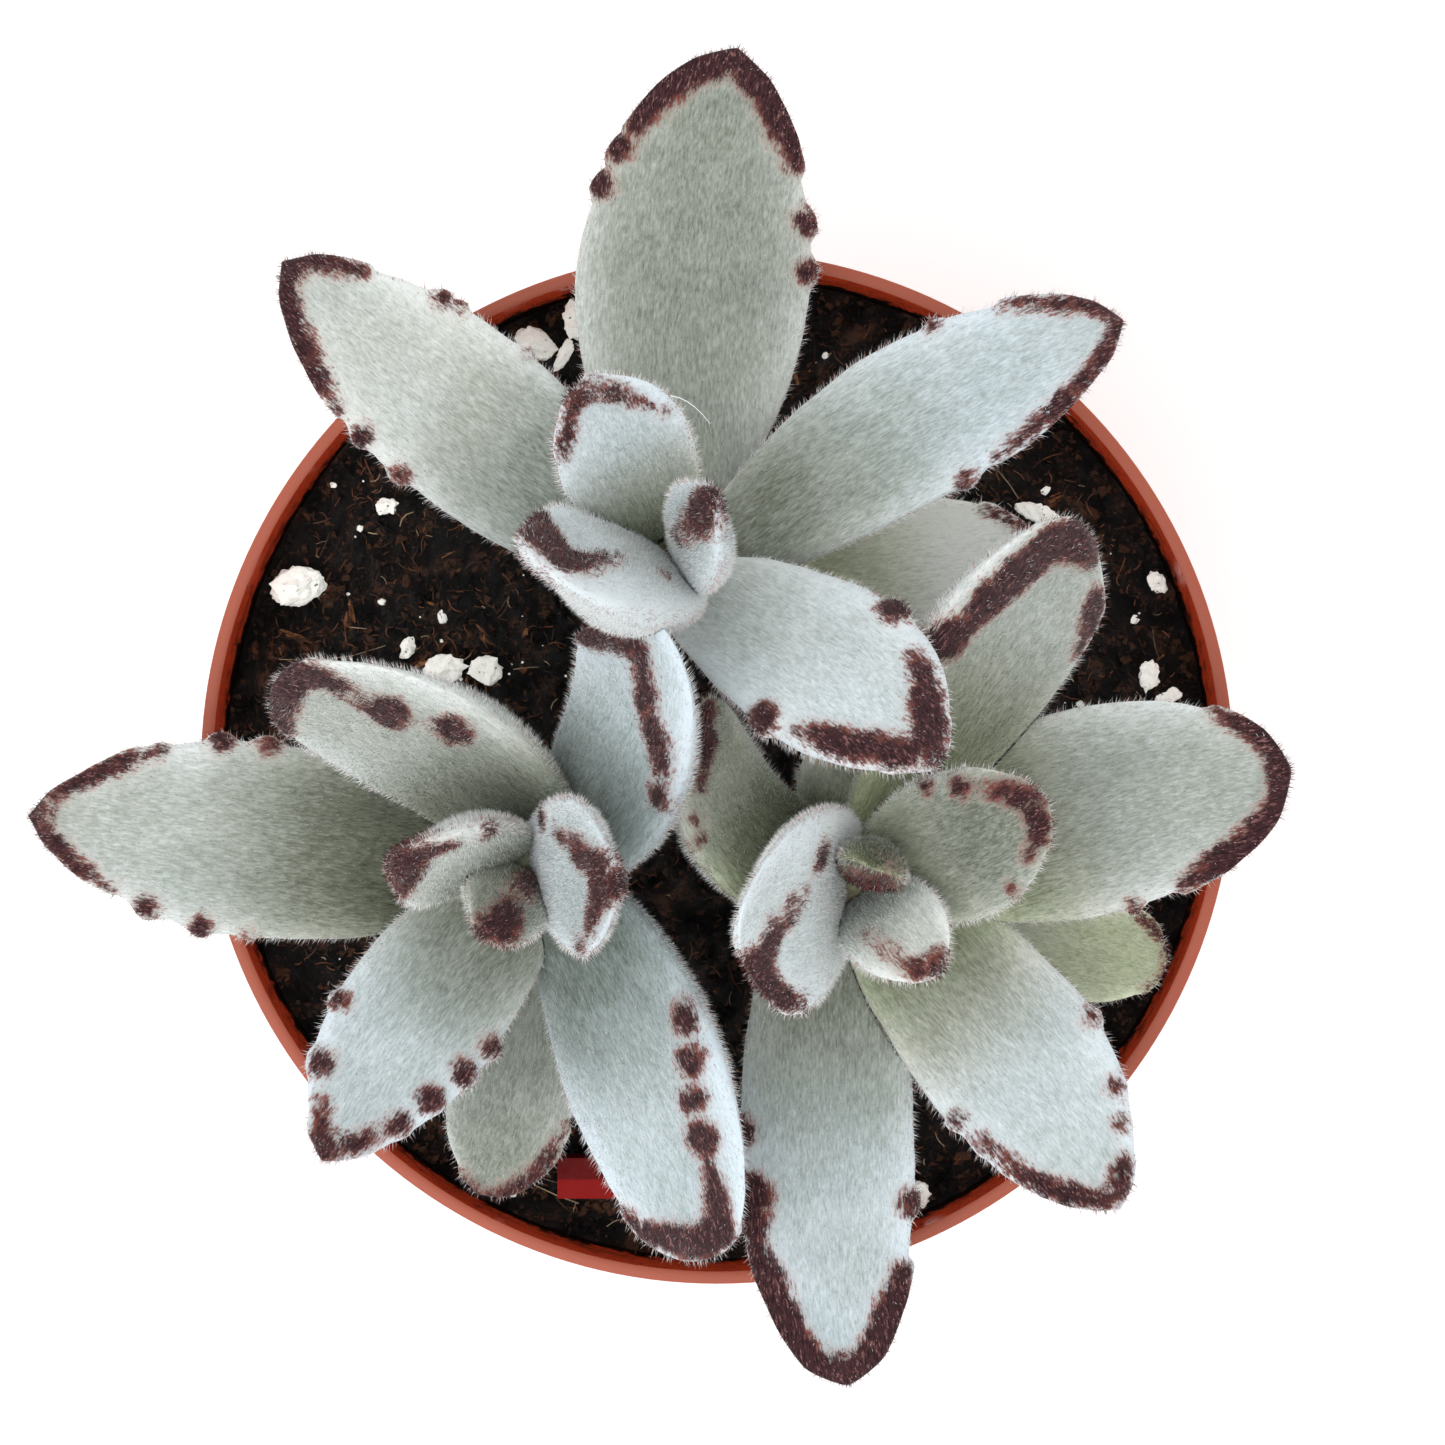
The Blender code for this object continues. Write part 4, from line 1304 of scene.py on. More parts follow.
@dataclass
class Foliage:
    """The three rosettes: each leaf with its nap, its brown marks and its long hairs."""

    hair_count: int = 148_000
    hair_radius: float = 0.033
    hair_length: float = 0.85
    hair_lean: float = 1.0
    tuft_height: float = 0.85
    ripple: float = 0.2
    hair_sunk: float = 0.12  # how deep a hair's root lies in the skin
    underside_density: float = 0.25
    mark_density: float = 1.7
    margin_density: float = 1.6
    profile_density: float = 1.2
    young_density: float = 1.4
    young_length: float = 42.0  # shorter leaves are young
    youngest_length: float = 20.0
    young_white: float = 0.12
    patchiness: float = 0.9
    flattening: float = 0.5
    spread: float = 0.24
    mark_spread: float = 0.36
    # the loose hair's start, middle and end: x, y and height above the rim
    strand: tuple[Place, ...] = ((-6.4, 34.3, 36.5), (-3.4, 34.4, 38.0), (-0.6, 32.1, 37.0))
    strand_radius: float = 0.045
    strand_parts: int = 8
    seed: int = 7
    pieces: dict[str, bpy.types.Object] = field(default_factory=dict)

    def blank(self) -> tuple[np.ndarray, np.ndarray, np.ndarray, list]:
        """Model the leaf's blank: a closed rod with many rings.

        Returns:
            Each corner's share of the length, angle and reach, and the faces.
        """
        Bench.clear_selection()
        bpy.ops.mesh.primitive_cylinder_add(
            vertices=BLANK_SIDES, radius=1.0, depth=1.0, end_fill_type="TRIFAN"
        )
        rod = bpy.context.object
        bpy.ops.object.mode_set(mode="EDIT")
        bpy.ops.mesh.select_all(action="DESELECT")
        shape = bmesh.from_edit_mesh(rod.data)
        for edge in shape.edges:
            edge.select = abs(edge.verts[0].co.z - edge.verts[1].co.z) > 0.5
        bmesh.update_edit_mesh(rod.data)
        bpy.ops.mesh.subdivide(number_cuts=BLANK_RINGS - 1)
        bpy.ops.object.mode_set(mode="OBJECT")
        places = np.array([v.co for v in rod.data.vertices])
        faces = [tuple(f.vertices) for f in rod.data.polygons]
        bpy.data.objects.remove(rod)
        reach = np.minimum(np.hypot(places[:, 0], places[:, 1]), 1.0).round()
        share = 1 - np.clip(0.5 - places[:, 2], 0, 1) ** BLANK_CROWDING
        share = np.where(reach > 0, np.minimum(share, BLANK_TIP_SHARE), share)
        return share, np.arctan2(places[:, 1], places[:, 0]), reach, faces

    def dressed(
        self, grown: Leaf, share: np.ndarray, angle: np.ndarray, reach: np.ndarray
    ) -> np.ndarray:
        """A leaf's corners with its ripples, and with a tuft raised under each mark.

        Args:
            grown: the leaf.
            share: the blank's places along the leaf.
            angle: the blank's angles.
            reach: the blank's reach.

        Returns:
            The corners, in millimetres.
        """
        places = grown.surface(share, angle, reach)
        outward = places - grown.midrib(share)
        outward /= np.maximum(np.linalg.norm(outward, axis=1, keepdims=True), 0.05)
        raised = self.tuft_height * smoothstep(-0.7, 0.9, grown.mark_depth(places))
        raised += self.ripple * noise_at(places, 5.0)
        raised += 0.4 * self.ripple * noise_at(places, 2.0, 9.0)
        fading = smoothstep(0.0, 0.05, 1 - share) * reach
        return places + outward * (raised * fading)[:, None]

    def build(self) -> None:
        """Model each leaf, press the upper ones into the lower ones, and grow the hairs."""
        share, angle, reach, faces = self.blank()
        skin = FeltSkin().material()
        for grown in LEAVES:
            places = self.dressed(grown, share, angle, reach)
            self.pieces[grown.name] = Bench.mesh_piece(f"felted_{grown.name}", places, faces)
            Bench.cut(self.pieces[grown.name], Bench.merged_copy(f"stem_{grown.name[0]}"))
        self.press((share, angle, reach, faces))
        for grown in LEAVES:
            piece = self.pieces[grown.name]
            self.carry_attributes(grown, piece, share, angle, reach)
            Bench.deliver(piece, piece.name, "felted_leaf", [skin], [f"leaf_{grown.name}"], 60.0)
        self.grow_hairs()

    def press(self, blank: tuple[np.ndarray, np.ndarray, np.ndarray, list]) -> None:
        """Press each leaf's form, with a little clearance, into the leaves that start lower.

        Args:
            blank: what the blank's corners and faces are, as blank() returns it.
        """
        share, angle, reach, faces = blank
        upward = sorted(LEAVES, key=lambda grown: grown.guide[0][2])
        trees = {grown.name: Bench.tree(self.pieces[grown.name]) for grown in LEAVES}
        for count, lower in enumerate(upward):
            for upper in upward[count + 1:]:
                swollen = upper.surface(share, angle, reach, FIT_GAP)
                presser = Bench.mesh_piece("presser", swollen, faces)
                if trees[lower.name].overlap(Bench.tree(presser)):
                    Bench.cut(self.pieces[lower.name], presser)
                else:
                    bpy.data.objects.remove(presser)

    def carry_attributes(
        self,
        grown: Leaf,
        piece: bpy.types.Object,
        share: np.ndarray,
        angle: np.ndarray,
        reach: np.ndarray,
    ) -> None:
        """Give a leaf's mesh what its finish and its hairs read, such as marks and whiteness.

        Args:
            grown: the leaf.
            piece: its finished mesh.
            share: the blank's places along the leaf.
            angle: the blank's angles.
            reach: the blank's reach.
        """
        known = KDTree(len(share))
        for count, place in enumerate(self.dressed(grown, share, angle, reach)):
            known.insert(place, count)
        known.balance()
        places = Bench.corners_of(piece)
        nearest = np.array([known.find(place)[1] for place in places])
        near_share, near_angle = share[nearest], angle[nearest]
        across, _, over = grown.frames(near_share)
        offset = places - grown.midrib(near_share)
        own = np.column_stack(
            (
                (offset * across).sum(1),
                near_share * grown.length,
                (offset * over).sum(1) + LEAF_SPACING * LEAVES.index(grown),
            )
        )
        for name, kind, key, values in (
            ("mark", "FLOAT", "value", grown.mark_depth(places)),
            ("tone", "FLOAT", "value", grown.tone(near_share, near_angle)),
            ("cool", "FLOAT", "value", grown.cool(near_share)),
            ("share", "FLOAT", "value", near_share),
            ("margin", "FLOAT", "value", np.abs(np.cos(near_angle)) ** 6),
            ("leaf_space", "FLOAT_VECTOR", "vector", own.ravel()),
        ):
            attribute = piece.data.attributes.new(name, kind, "POINT")
            attribute.data.foreach_set(key, values.astype(np.float32))

    def grow_hairs(self) -> None:
        """Grow the long hairs of every leaf, so many for each square millimetre."""
        fields = {grown.name: HairField(self, grown, self.pieces[grown.name]) for grown in LEAVES}
        total = sum(found.weight.sum() for found in fields.values())
        hair = self.hair_blank()
        everything = self.everything()
        for grown in LEAVES:
            found = fields[grown.name]
            count = int(self.hair_count * found.weight.sum() / total)
            rng = np.random.default_rng(self.seed + LEAVES.index(grown))
            corners, faces, shades = found.hairs(count, hair, everything, rng)
            piece = Bench.mesh_piece(f"felt_hairs_{grown.name}", corners, faces)
            Bench.paint_faces(piece, shades)
            materials = [shade.material() for shade in Shade]
            Bench.deliver(piece, piece.name, "felted_leaf", materials, crease=180.0)
        self.hang_strand()

    def hang_strand(self) -> None:
        """Model the one long loose hair that hangs off the leaf behind."""
        Bench.clear_selection()
        bpy.ops.mesh.primitive_cylinder_add(
            vertices=5, radius=self.strand_radius * MM, depth=1.0, location=(0, 0, 0.5)
        )
        rod = bpy.context.object
        bpy.ops.object.transform_apply(location=True, rotation=True, scale=True)
        bpy.ops.object.mode_set(mode="EDIT")
        for count in range(1, self.strand_parts):
            height = count / self.strand_parts
            bpy.ops.mesh.select_all(action="SELECT")
            bpy.ops.mesh.bisect(plane_co=(0, 0, height), plane_no=(0, 0, 1))
        bpy.ops.object.mode_set(mode="OBJECT")
        corners = np.array([v.co for v in rod.data.vertices])
        start, middle, end = (np.array(place) + (0, 0, POT_HEIGHT) for place in self.strand)
        share = corners[:, 2:3]
        bend = middle * 2 - (start + end) / 2
        places = start * (1 - share) ** 2 + bend * 2 * share * (1 - share) + end * share**2
        places += np.column_stack((corners[:, 0] * 0, corners[:, 0], corners[:, 1])) / MM
        Bench.set_corners(rod, places)
        white = [Shade.WHITE.material()]
        Bench.deliver(rod, "felt_hairs_loose", "felted_leaf", white, crease=180.0)

    def everything(self) -> BVHTree:
        """A search tree of all leaves together.

        Returns:
            The tree.
        """
        corners, faces = [], []
        for piece in self.pieces.values():
            first = len(corners)
            corners.extend(Vector(p) for p in Bench.corners_of(piece))
            faces.extend([first + v for v in f.vertices] for f in piece.data.polygons)
        return BVHTree.FromPolygons(corners, faces)

    def hair_blank(self) -> tuple[np.ndarray, np.ndarray]:
        """Model one hair: a slim closed spike of unit length along Z.

        Returns:
            Its corners and its faces.
        """
        Bench.clear_selection()
        bpy.ops.mesh.primitive_cone_add(
            vertices=3, radius1=self.hair_radius, radius2=0.0, depth=1.0, location=(0, 0, 0.5)
        )
        spike = bpy.context.object
        bpy.ops.object.transform_apply(location=True, rotation=True, scale=True)
        return Bench.blank_of(spike)


class HairField:
    """Where a leaf's hairs grow, and which shade each has."""

    DEEP_BELOW = 0.32  # how white the felt is where the hairs' shades change
    SAGE_BELOW = 0.62
    WHITE_ABOVE = 0.88
    BESIDE_FROM = -0.45  # how near to a mark the hairs take its colours
    RAGGED = 0.35

    def __init__(self, foliage: Foliage, grown: Leaf, piece: bpy.types.Object) -> None:
        """Read the leaf's triangles and weigh them by area, side and marks.

        Args:
            foliage: the sizes and densities.
            grown: the leaf.
            piece: its finished mesh, with its attributes.
        """
        mesh = piece.data
        mesh.calc_loop_triangles()
        self.foliage, self.grown = foliage, grown
        self.places = Bench.corners_of(piece)
        self.triangles = np.array([t.vertices[:] for t in mesh.loop_triangles])
        self.normals = np.array([v.normal for v in mesh.vertices])
        self.share, self.tone, self.cool, self.margin, mark = (
            self.read(mesh, key) for key in ("share", "tone", "cool", "margin", "mark")
        )
        a, b, c = (self.places[self.triangles[:, n]] for n in range(3))
        flat = np.cross(b - a, c - a)
        area = np.linalg.norm(flat, axis=1) / 2
        facing = flat[:, 2] / np.maximum(area * 2, 1e-9)
        side = np.where(facing > -0.1, 1.0, foliage.underside_density)
        brown = mark[self.triangles].mean(1) > 0
        edge = 1 + foliage.margin_density * self.margin[self.triangles].mean(1)
        edge += foliage.profile_density * (1 - np.abs(facing))
        ages = foliage.young_length, foliage.youngest_length
        self.youth = float(smoothstep(*ages, np.array(grown.length)))
        dense = np.where(brown, foliage.mark_density, 1.0) * (1 + foliage.young_density * self.youth)
        self.weight = area * side * edge * dense

    @staticmethod
    def read(mesh: bpy.types.Mesh, key: str) -> np.ndarray:
        """A number that the mesh carries at each of its points.

        Args:
            mesh: the leaf's mesh.
            key: the attribute's name.

        Returns:
            The numbers.
        """
        values = np.empty(len(mesh.vertices), np.float32)
        mesh.attributes[key].data.foreach_get("value", values)
        return values

    def hairs(
        self,
        count: int,
        hair: tuple[np.ndarray, np.ndarray],
        everything: BVHTree,
        rng: np.random.Generator,
    ) -> tuple[np.ndarray, np.ndarray, np.ndarray]:
        """Copy the hair to many roots, leaning towards the leaf's tip.

        Args:
            count: how many hairs to plant.
            hair: the modelled hair's corners and faces.
            everything: the tree of all leaves, which no hair runs into.
            rng: the source of the random draws.

        Returns:
            The corners, the faces and each face's shade.
        """
        chosen = rng.choice(len(self.weight), count, p=self.weight / self.weight.sum())
        u, v = rng.random((2, count))
        flip = u + v > 1
        u, v = np.where(flip, 1 - u, u), np.where(flip, 1 - v, v)
        weights = np.column_stack((1 - u - v, u, v))[:, :, None]
        corners = self.triangles[chosen]
        roots = (self.places[corners] * weights).sum(1)
        normals = (self.normals[corners] * weights).sum(1)
        normals /= np.linalg.norm(normals, axis=1, keepdims=True)
        share = (self.share[corners] * weights[:, :, 0]).sum(1)
        tone, cool, margin = (
            (values[corners] * weights[:, :, 0]).sum(1)
            for values in (self.tone, self.cool, self.margin)
        )
        mark = self.grown.mark_depth(roots)
        level = smoothstep(0.4, 0.95, normals[:, 2])
        habit = self.foliage
        lean = habit.hair_lean * (0.7 + 0.6 * rng.random(count))
        lean *= (1 + habit.flattening * level) * (1 - 0.45 * self.youth) * (1 - 0.4 * margin)
        lean = np.where(mark > 0, lean * 0.5, lean)
        _, along, _ = self.grown.frames(share)
        wild = np.where(mark > 0, habit.mark_spread, habit.spread)
        spread = rng.normal(0, 1, (count, 3)) * wild[:, None]
        ways = normals + along * lean[:, None] + spread
        ways /= np.linalg.norm(ways, axis=1, keepdims=True)
        length = habit.hair_length * rng.uniform(0.65, 1.2, count) * (1 - 0.1 * self.youth)
        length *= (0.65 + 0.35 * smoothstep(0.1, 0.5, share)) * (1 - 0.3 * level)
        length *= np.where(mark > 0, 0.85, 1.0) * (1 + 0.2 * margin)
        clear = np.array(
            [
                everything.ray_cast(Vector(r + w * habit.hair_sunk), Vector(w), reach)[0] is None
                for r, w, reach in zip(roots, ways, length)
            ]
        )
        roots, ways, length = roots[clear], ways[clear], length[clear]
        blank, faces = hair
        side = np.cross(ways, rng.normal(0, 1, ways.shape))
        side /= np.linalg.norm(side, axis=1, keepdims=True)
        other = np.cross(ways, side)
        long_ways = (ways * length[:, None])[:, None]
        placed = (roots - ways * habit.hair_sunk)[:, None, :] + blank[None, :, 2:3] * long_ways
        placed = placed + blank[None, :, 0:1] * side[:, None] + blank[None, :, 1:2] * other[:, None]
        tone = tone + habit.young_white * self.youth
        patch = (0.6 + habit.patchiness * noise_at(roots, 2.6, 20.0)).clip(0, 1)
        seen = (*(values[clear] for values in (mark, tone, cool, margin)), patch)
        shades = np.repeat(self.shades(*seen, self.youth, rng), len(faces))
        return placed.reshape(-1, 3), Bench.repeated(faces, len(blank), len(roots)), shades

    @staticmethod
    def shades(
        mark: np.ndarray,
        tone: np.ndarray,
        cool: np.ndarray,
        margin: np.ndarray,
        patch: np.ndarray,
        youth: float,
        rng: np.random.Generator,
    ) -> np.ndarray:
        """Each hair's shade: dark in the marks, blush beside them, and elsewhere from the felt's
        tone, its painted shade and margin sheen included.

        Args:
            mark: how deep each root lies in a mark.
            tone: how white the felt is there.
            cool: how blue it is there.
            margin: how near it is to the leaf's margin, from 0 to 1.
            patch: how dark a mark is there, from 0 to 1.
            youth: 1 on a young leaf, whose marks are redder, and 0 on a grown one.
            rng: the source of the random draws.

        Returns:
            The shades' slots.
        """
        near_margin = smoothstep(0.5, 0.95, margin)
        edge = mark + rng.normal(0, HairField.RAGGED, len(mark))
        draw = rng.random(len(mark))
        # hairs follow the felt's tone, painted shade included, and are whiter near the margins: a
        # painted sheen
        shade = tone + rng.normal(0.13, 0.12, len(mark)) + 0.16 * smoothstep(0.45, 0.95, margin)
        pale = np.where(draw < cool * 0.6, Shade.COOL.slot, Shade.PALE.slot)
        pale = np.where(shade < HairField.SAGE_BELOW, Shade.SAGE.slot, pale)
        pale = np.where(shade < HairField.DEEP_BELOW, Shade.DEEP.slot, pale)
        pale = np.where(shade > HairField.WHITE_ABOVE, Shade.WHITE.slot, pale)
        pale = np.where(draw > 1 - 0.22 * near_margin, Shade.BLUSH.slot, pale)
        beside = np.where(draw < 0.15, Shade.BLUSH.slot, pale)
        beside = np.where(draw > 0.8, Shade.RUST.slot, beside)
        fringe = (0.1 + 0.35 * near_margin) * (1 - 0.4 * youth)
        dark = Shade.WINE.slot if youth > 0.5 else Shade.DARK.slot
        brown = np.where(draw < 0.4 + 0.55 * patch, dark, Shade.RUST.slot)
        brown = np.where(draw < 0.9 * patch - 0.3, Shade.BLACK.slot, brown)
        brown = np.where(draw > 1 - fringe, Shade.BLUSH.slot, brown)
        brown = np.where(draw > 1 - fringe * 0.45, Shade.WHITE.slot, brown)
        beside = np.where(edge > HairField.BESIDE_FROM, beside, pale)
        return np.where(edge > 0.0, brown, beside)


@dataclass
class Stems:
    """The three stems, smoothed from their CAD nodes, with fine leaf scars."""

    levels: int = 2
    scar_depth: float = 0.18

    def build(self) -> None:
        """Refine each stem's copy and ripple its surface."""
        bark = StemBark().material()
        for letter in STEMS:
            stem = Bench.merged_copy(f"stem_{letter}")
            Bench.apply(stem, "SUBSURF", levels=self.levels, render_levels=self.levels)
            places = Bench.corners_of(stem)
            outward = places[:, :2] - places[:, :2].mean(0)
            outward /= np.maximum(np.linalg.norm(outward, axis=1, keepdims=True), 0.1)
            scars = noise_at(places * (0.5, 0.5, 1.6), 1.6)
            places[:, :2] -= outward * (self.scar_depth * np.abs(scars))[:, None]
            Bench.set_corners(stem, places)
            Bench.deliver(stem, f"bark_{letter}", "stem", [bark], [f"stem_{letter}"])


# Pot, soil and what lies in it


def wall_radius(height: float, inside: bool) -> float:
    """The pot's radius at a height, on its outer or its inner face.

    Args:
        height: height above the ground.
        inside: whether the inner face is meant.

    Returns:
        The radius.
    """
    collar_foot = POT_HEIGHT - POT_COLLAR_HEIGHT
    if height > collar_foot:
        share = (height - collar_foot) / POT_COLLAR_HEIGHT
        outer = POT_COLLAR_RADIUS + share * (POT_RIM_RADIUS - POT_COLLAR_RADIUS)
    else:
        top = POT_COLLAR_RADIUS - POT_COLLAR_STEP
        outer = POT_BASE_RADIUS + (top - POT_BASE_RADIUS) * height / collar_foot
    return outer - (POT_WALL if inside else 0)


@dataclass
class Pot:
    """The moulded pot: a thin tapered shell with a collar, a footed base and drain holes."""

    segments: int = 192
    lip_round: float = 0.25
    collar_round: float = 0.6
    pad_radius: float = 12.0
    foot_inner_radius: float = 33.5
    foot_lift: float = 1.2
    edge_break: float = 0.8
    drain_count: int = 8
    drain_radius: float = 3.5
    drain_circle: float = 23.0
    drain_sides: int = 32
    drill_length: float = 6.0
    drill_height: float = 2.0
    outer_rings: tuple[float, ...] = (10, 25, 40, 55, 70)
    inner_rings: tuple[float, ...] = (60, 40, 20, POT_FLOOR_TOP + 1)

    def profile(self) -> list[tuple[float, float]]:
        """Radii and heights from the underside's middle round to the floor's middle.

        Returns:
            The radii and heights.
        """
        foot = POT_HEIGHT - POT_COLLAR_HEIGHT
        below = foot - POT_COLLAR_STEP
        r, top, soft = POT_RIM_RADIUS, POT_HEIGHT, self.collar_round
        lip = self.lip_round
        outer = [
            (0, 0),
            (self.pad_radius, 0),
            (self.pad_radius + self.foot_lift, self.foot_lift),
            (self.foot_inner_radius - self.foot_lift, self.foot_lift),
            (self.foot_inner_radius, 0),
            (POT_BASE_RADIUS - self.edge_break, 0),
            (POT_BASE_RADIUS - self.edge_break * 0.25, self.edge_break * 0.3),
            (wall_radius(self.edge_break, False), self.edge_break),
        ]
        outer += [(wall_radius(h, False), h) for h in self.outer_rings]
        outer += [
            (wall_radius(below - soft, False), below - soft),
            (wall_radius(below, False) + soft * 0.15, below),
            (POT_COLLAR_RADIUS - soft * 0.6, foot - soft * 0.4),
            (POT_COLLAR_RADIUS, foot + soft * 0.4),
            (POT_COLLAR_RADIUS + 0.35, foot + POT_COLLAR_HEIGHT / 2),
            (r, top - 0.5),
            (r - 0.05, top - lip * 0.4),
            (r - lip, top),
            (r - POT_WALL + lip, top),
            (r - POT_WALL + 0.05, top - lip * 0.4),
        ]
        inner = [(wall_radius(h, True), h) for h in (top - 0.8, top - 3, top - 6, top - 9)]
        inner += [(POT_COLLAR_RADIUS - POT_WALL, foot), (wall_radius(below, True), below)]
        inner += [(wall_radius(h, True), h) for h in self.inner_rings]
        inner += [(wall_radius(POT_FLOOR_TOP, True) - 1, POT_FLOOR_TOP), (0, POT_FLOOR_TOP)]
        return outer + inner

    def build(self) -> None:
        """Turn the shell and drill its drain holes."""
        shell = Bench.turned(self.profile(), self.segments)
        for count in range(self.drain_count):
            turn = 2 * math.pi * (count + 0.5) / self.drain_count
            Bench.clear_selection()
            across, along = self.drain_circle * math.cos(turn), self.drain_circle * math.sin(turn)
            bpy.ops.mesh.primitive_cylinder_add(
                vertices=self.drain_sides,
                radius=self.drain_radius * MM,
                depth=self.drill_length * MM,
                location=(across * MM, along * MM, self.drill_height * MM),
            )
            drill = bpy.context.object
            bpy.ops.object.transform_apply(location=True, rotation=True, scale=True)
            Bench.cut(shell, drill)
        finishes = [PotPlastic().material(), PotInside().material()]
        Bench.deliver(shell, "pot_shell", "terracotta_plastic", finishes, ["pot"], 35.0)
        for face in shell.data.polygons:
            face.material_index = int(self.is_inside(face.center / MM, face.normal))

    @staticmethod
    def is_inside(place: Vector, normal: Vector) -> bool:
        """Whether a face of the shell belongs to the pot's inner wall or floor."""
        if place.z < POT_FLOOR_TOP + 0.5:
            return normal.z > 0.5
        return place.z < POT_HEIGHT - 0.2 and place.x * normal.x + place.y * normal.y < 0


@dataclass
class Soil:
    """The peat: a crumbly top with loose crumbs, fibres, bark and small perlite on it."""

    segments: int = 240
    ring_step: float = 0.58
    mound: float = 2.0
    crumb_count: int = 12_000
    edge_crumb_count: int = 900
    crumb_kinds: tuple[float, float] = (0.6, 1.05)  # below: dark, between: brown, above: rust
    fibre_count: int = 4600
    fibre_shares: tuple = (0.26, 0.4, 0.28, 0.06)  # dark, brown, orange and pale ones
    sliver_count: int = 260
    splinters: int = 5
    dust_count: int = 120
    seed: int = 11
    # x, y, length and width
    small_perlite: tuple = (
        (-28.2, 15.4, 1.1, 1.7), (-34.5, 17.0, 0.8, 1.0), (33.8, 28.4, 0.9, 1.3),
        (43.0, 15.2, 1.0, 1.2), (37.4, 6.5, 1.3, 0.9), (11.2, 42.2, 0.9, 1.2),
        (38.5, 22.0, 1.5, 1.1), (32.0, 5.3, 1.0, 1.4), (-36.8, 24.6, 0.8, 0.9),
        (-39.5, 29.0, 0.9, 0.7), (-21.0, -44.0, 0.8, 1.0), (27.0, -38.5, 0.9, 1.1),
    )
    # x, y, length, width and direction in degrees
    bark_chips: tuple = (
        (-37.9, 15.4, 3.2, 1.1, 115), (-42.6, 13.0, 4.2, 0.9, -28), (-30.5, 11.0, 2.6, 1.0, 50),
        (-24.0, 13.5, 2.4, 0.9, 130), (38.5, 22.0, 2.6, 1.0, 70), (34.5, 27.5, 2.4, 0.9, 20),
        (28.5, -34.5, 3.0, 1.1, 35), (26.5, -31.5, 2.6, 0.9, 80), (-12.0, 8.5, 2.4, 0.9, 60),
    )
    # from x, y to x, y, and thickness
    roots: tuple = (
        (-20.6, -42.0, -14.4, -45.2, 0.09), (-21.5, -40.6, -15.2, -43.4, 0.06),
        (-45.0, 10.6, -34.0, 12.0, 0.05), (24.0, -33.0, 31.0, -35.5, 0.06),
    )

    def relief(self, places: np.ndarray) -> np.ndarray:
        """Height of the soil's surface at each place: a low mound with clods and crumbs.

        Args:
            places: places on the soil.

        Returns:
            The height at each.
        """
        edge = wall_radius(POT_HEIGHT - SOIL_DROP, True)
        rise = self.mound * (1 - (np.hypot(places[:, 0], places[:, 1]) / edge) ** 2)
        rise += 1.5 * noise_at(places * (1, 1, 0) + (0, 0, 4.0), 8.0)
        return POT_HEIGHT - SOIL_DROP + rise + self.clods(places)

    @staticmethod
    def clods(places: np.ndarray) -> np.ndarray:
        """Height of the clods and crumbs alone, from about -1.5 to 1.5 mm.

        Args:
            places: places on the soil.

        Returns:
            The height at each.
        """
        flat = places * (1, 1, 0)
        coarse = 0.6 * noise_at(flat + (0, 0, 31.0), 3.4)
        return coarse + 1.3 * noise_at(flat, 2.4, 50.0) + 0.7 * noise_at(flat, 1.1, 70.0)

    @staticmethod
    def carry_rise(piece: bpy.types.Object, rise: np.ndarray) -> None:
        """Give a piece of peat the attribute that its finish reads for its painted light and shade.
        """
        attribute = piece.data.attributes.new("rise", "FLOAT", "POINT")
        attribute.data.foreach_set("value", rise.astype(np.float32))

    def build(self) -> None:
        """Build the body of peat, then scatter what lies on it."""
        edge = wall_radius(POT_HEIGHT - SOIL_DROP, True) - FIT_GAP
        rings = int(edge / self.ring_step)
        profile = [(edge * n / rings, POT_HEIGHT - SOIL_DROP) for n in range(rings + 1)]
        foot = POT_HEIGHT - POT_COLLAR_HEIGHT
        profile += [
            (POT_COLLAR_RADIUS - POT_WALL - FIT_GAP, foot),
            (wall_radius(foot - POT_COLLAR_STEP, True) - FIT_GAP, foot - POT_COLLAR_STEP),
            (wall_radius(POT_FLOOR_TOP, True) - 1 - FIT_GAP, POT_FLOOR_TOP + FIT_GAP),
            (0, POT_FLOOR_TOP + FIT_GAP),
        ]
        body = Bench.turned(profile, self.segments)
        places = Bench.corners_of(body)
        top = places[:, 2] > POT_HEIGHT - SOIL_DROP - 0.01
        places[top, 2] = self.relief(places[top])
        Bench.set_corners(body, places)
        for letter in STEMS:
            Bench.cut(body, Bench.merged_copy(f"stem_{letter}"))
        Bench.cut(body, Bench.merged_copy("plant_label"))
        # the clods' height, for the peat's painted light on the tops and painted shade in the hollows
        self.carry_rise(body, self.clods(Bench.corners_of(body)) - 0.3)
        Bench.deliver(body, "peat_bed", "peat_soil", [Peat().material()], ["soil"], 60.0)
        rng = np.random.default_rng(self.seed)
        self.scatter_crumbs(rng)
        self.scatter_fibres(rng)
        self.lay_roots()
        self.scatter_slivers(rng)
        self.scatter_perlite(rng)

    def spots(self, count: int, rng: np.random.Generator, margin: float) -> np.ndarray:
        """Random places on the soil, not nearer to the wall than the margin.

        Args:
            count: how many places.
            rng: the source of the random draws.
            margin: the distance that is kept from the wall.

        Returns:
            The places.
        """
        edge = wall_radius(POT_HEIGHT - SOIL_DROP, True) - margin
        turn = rng.uniform(0, 2 * math.pi, count)
        radius = edge * np.sqrt(rng.random(count))
        flat = np.column_stack((radius * np.cos(turn), radius * np.sin(turn), np.zeros(count)))
        flat[:, 2] = self.relief(flat)
        return flat

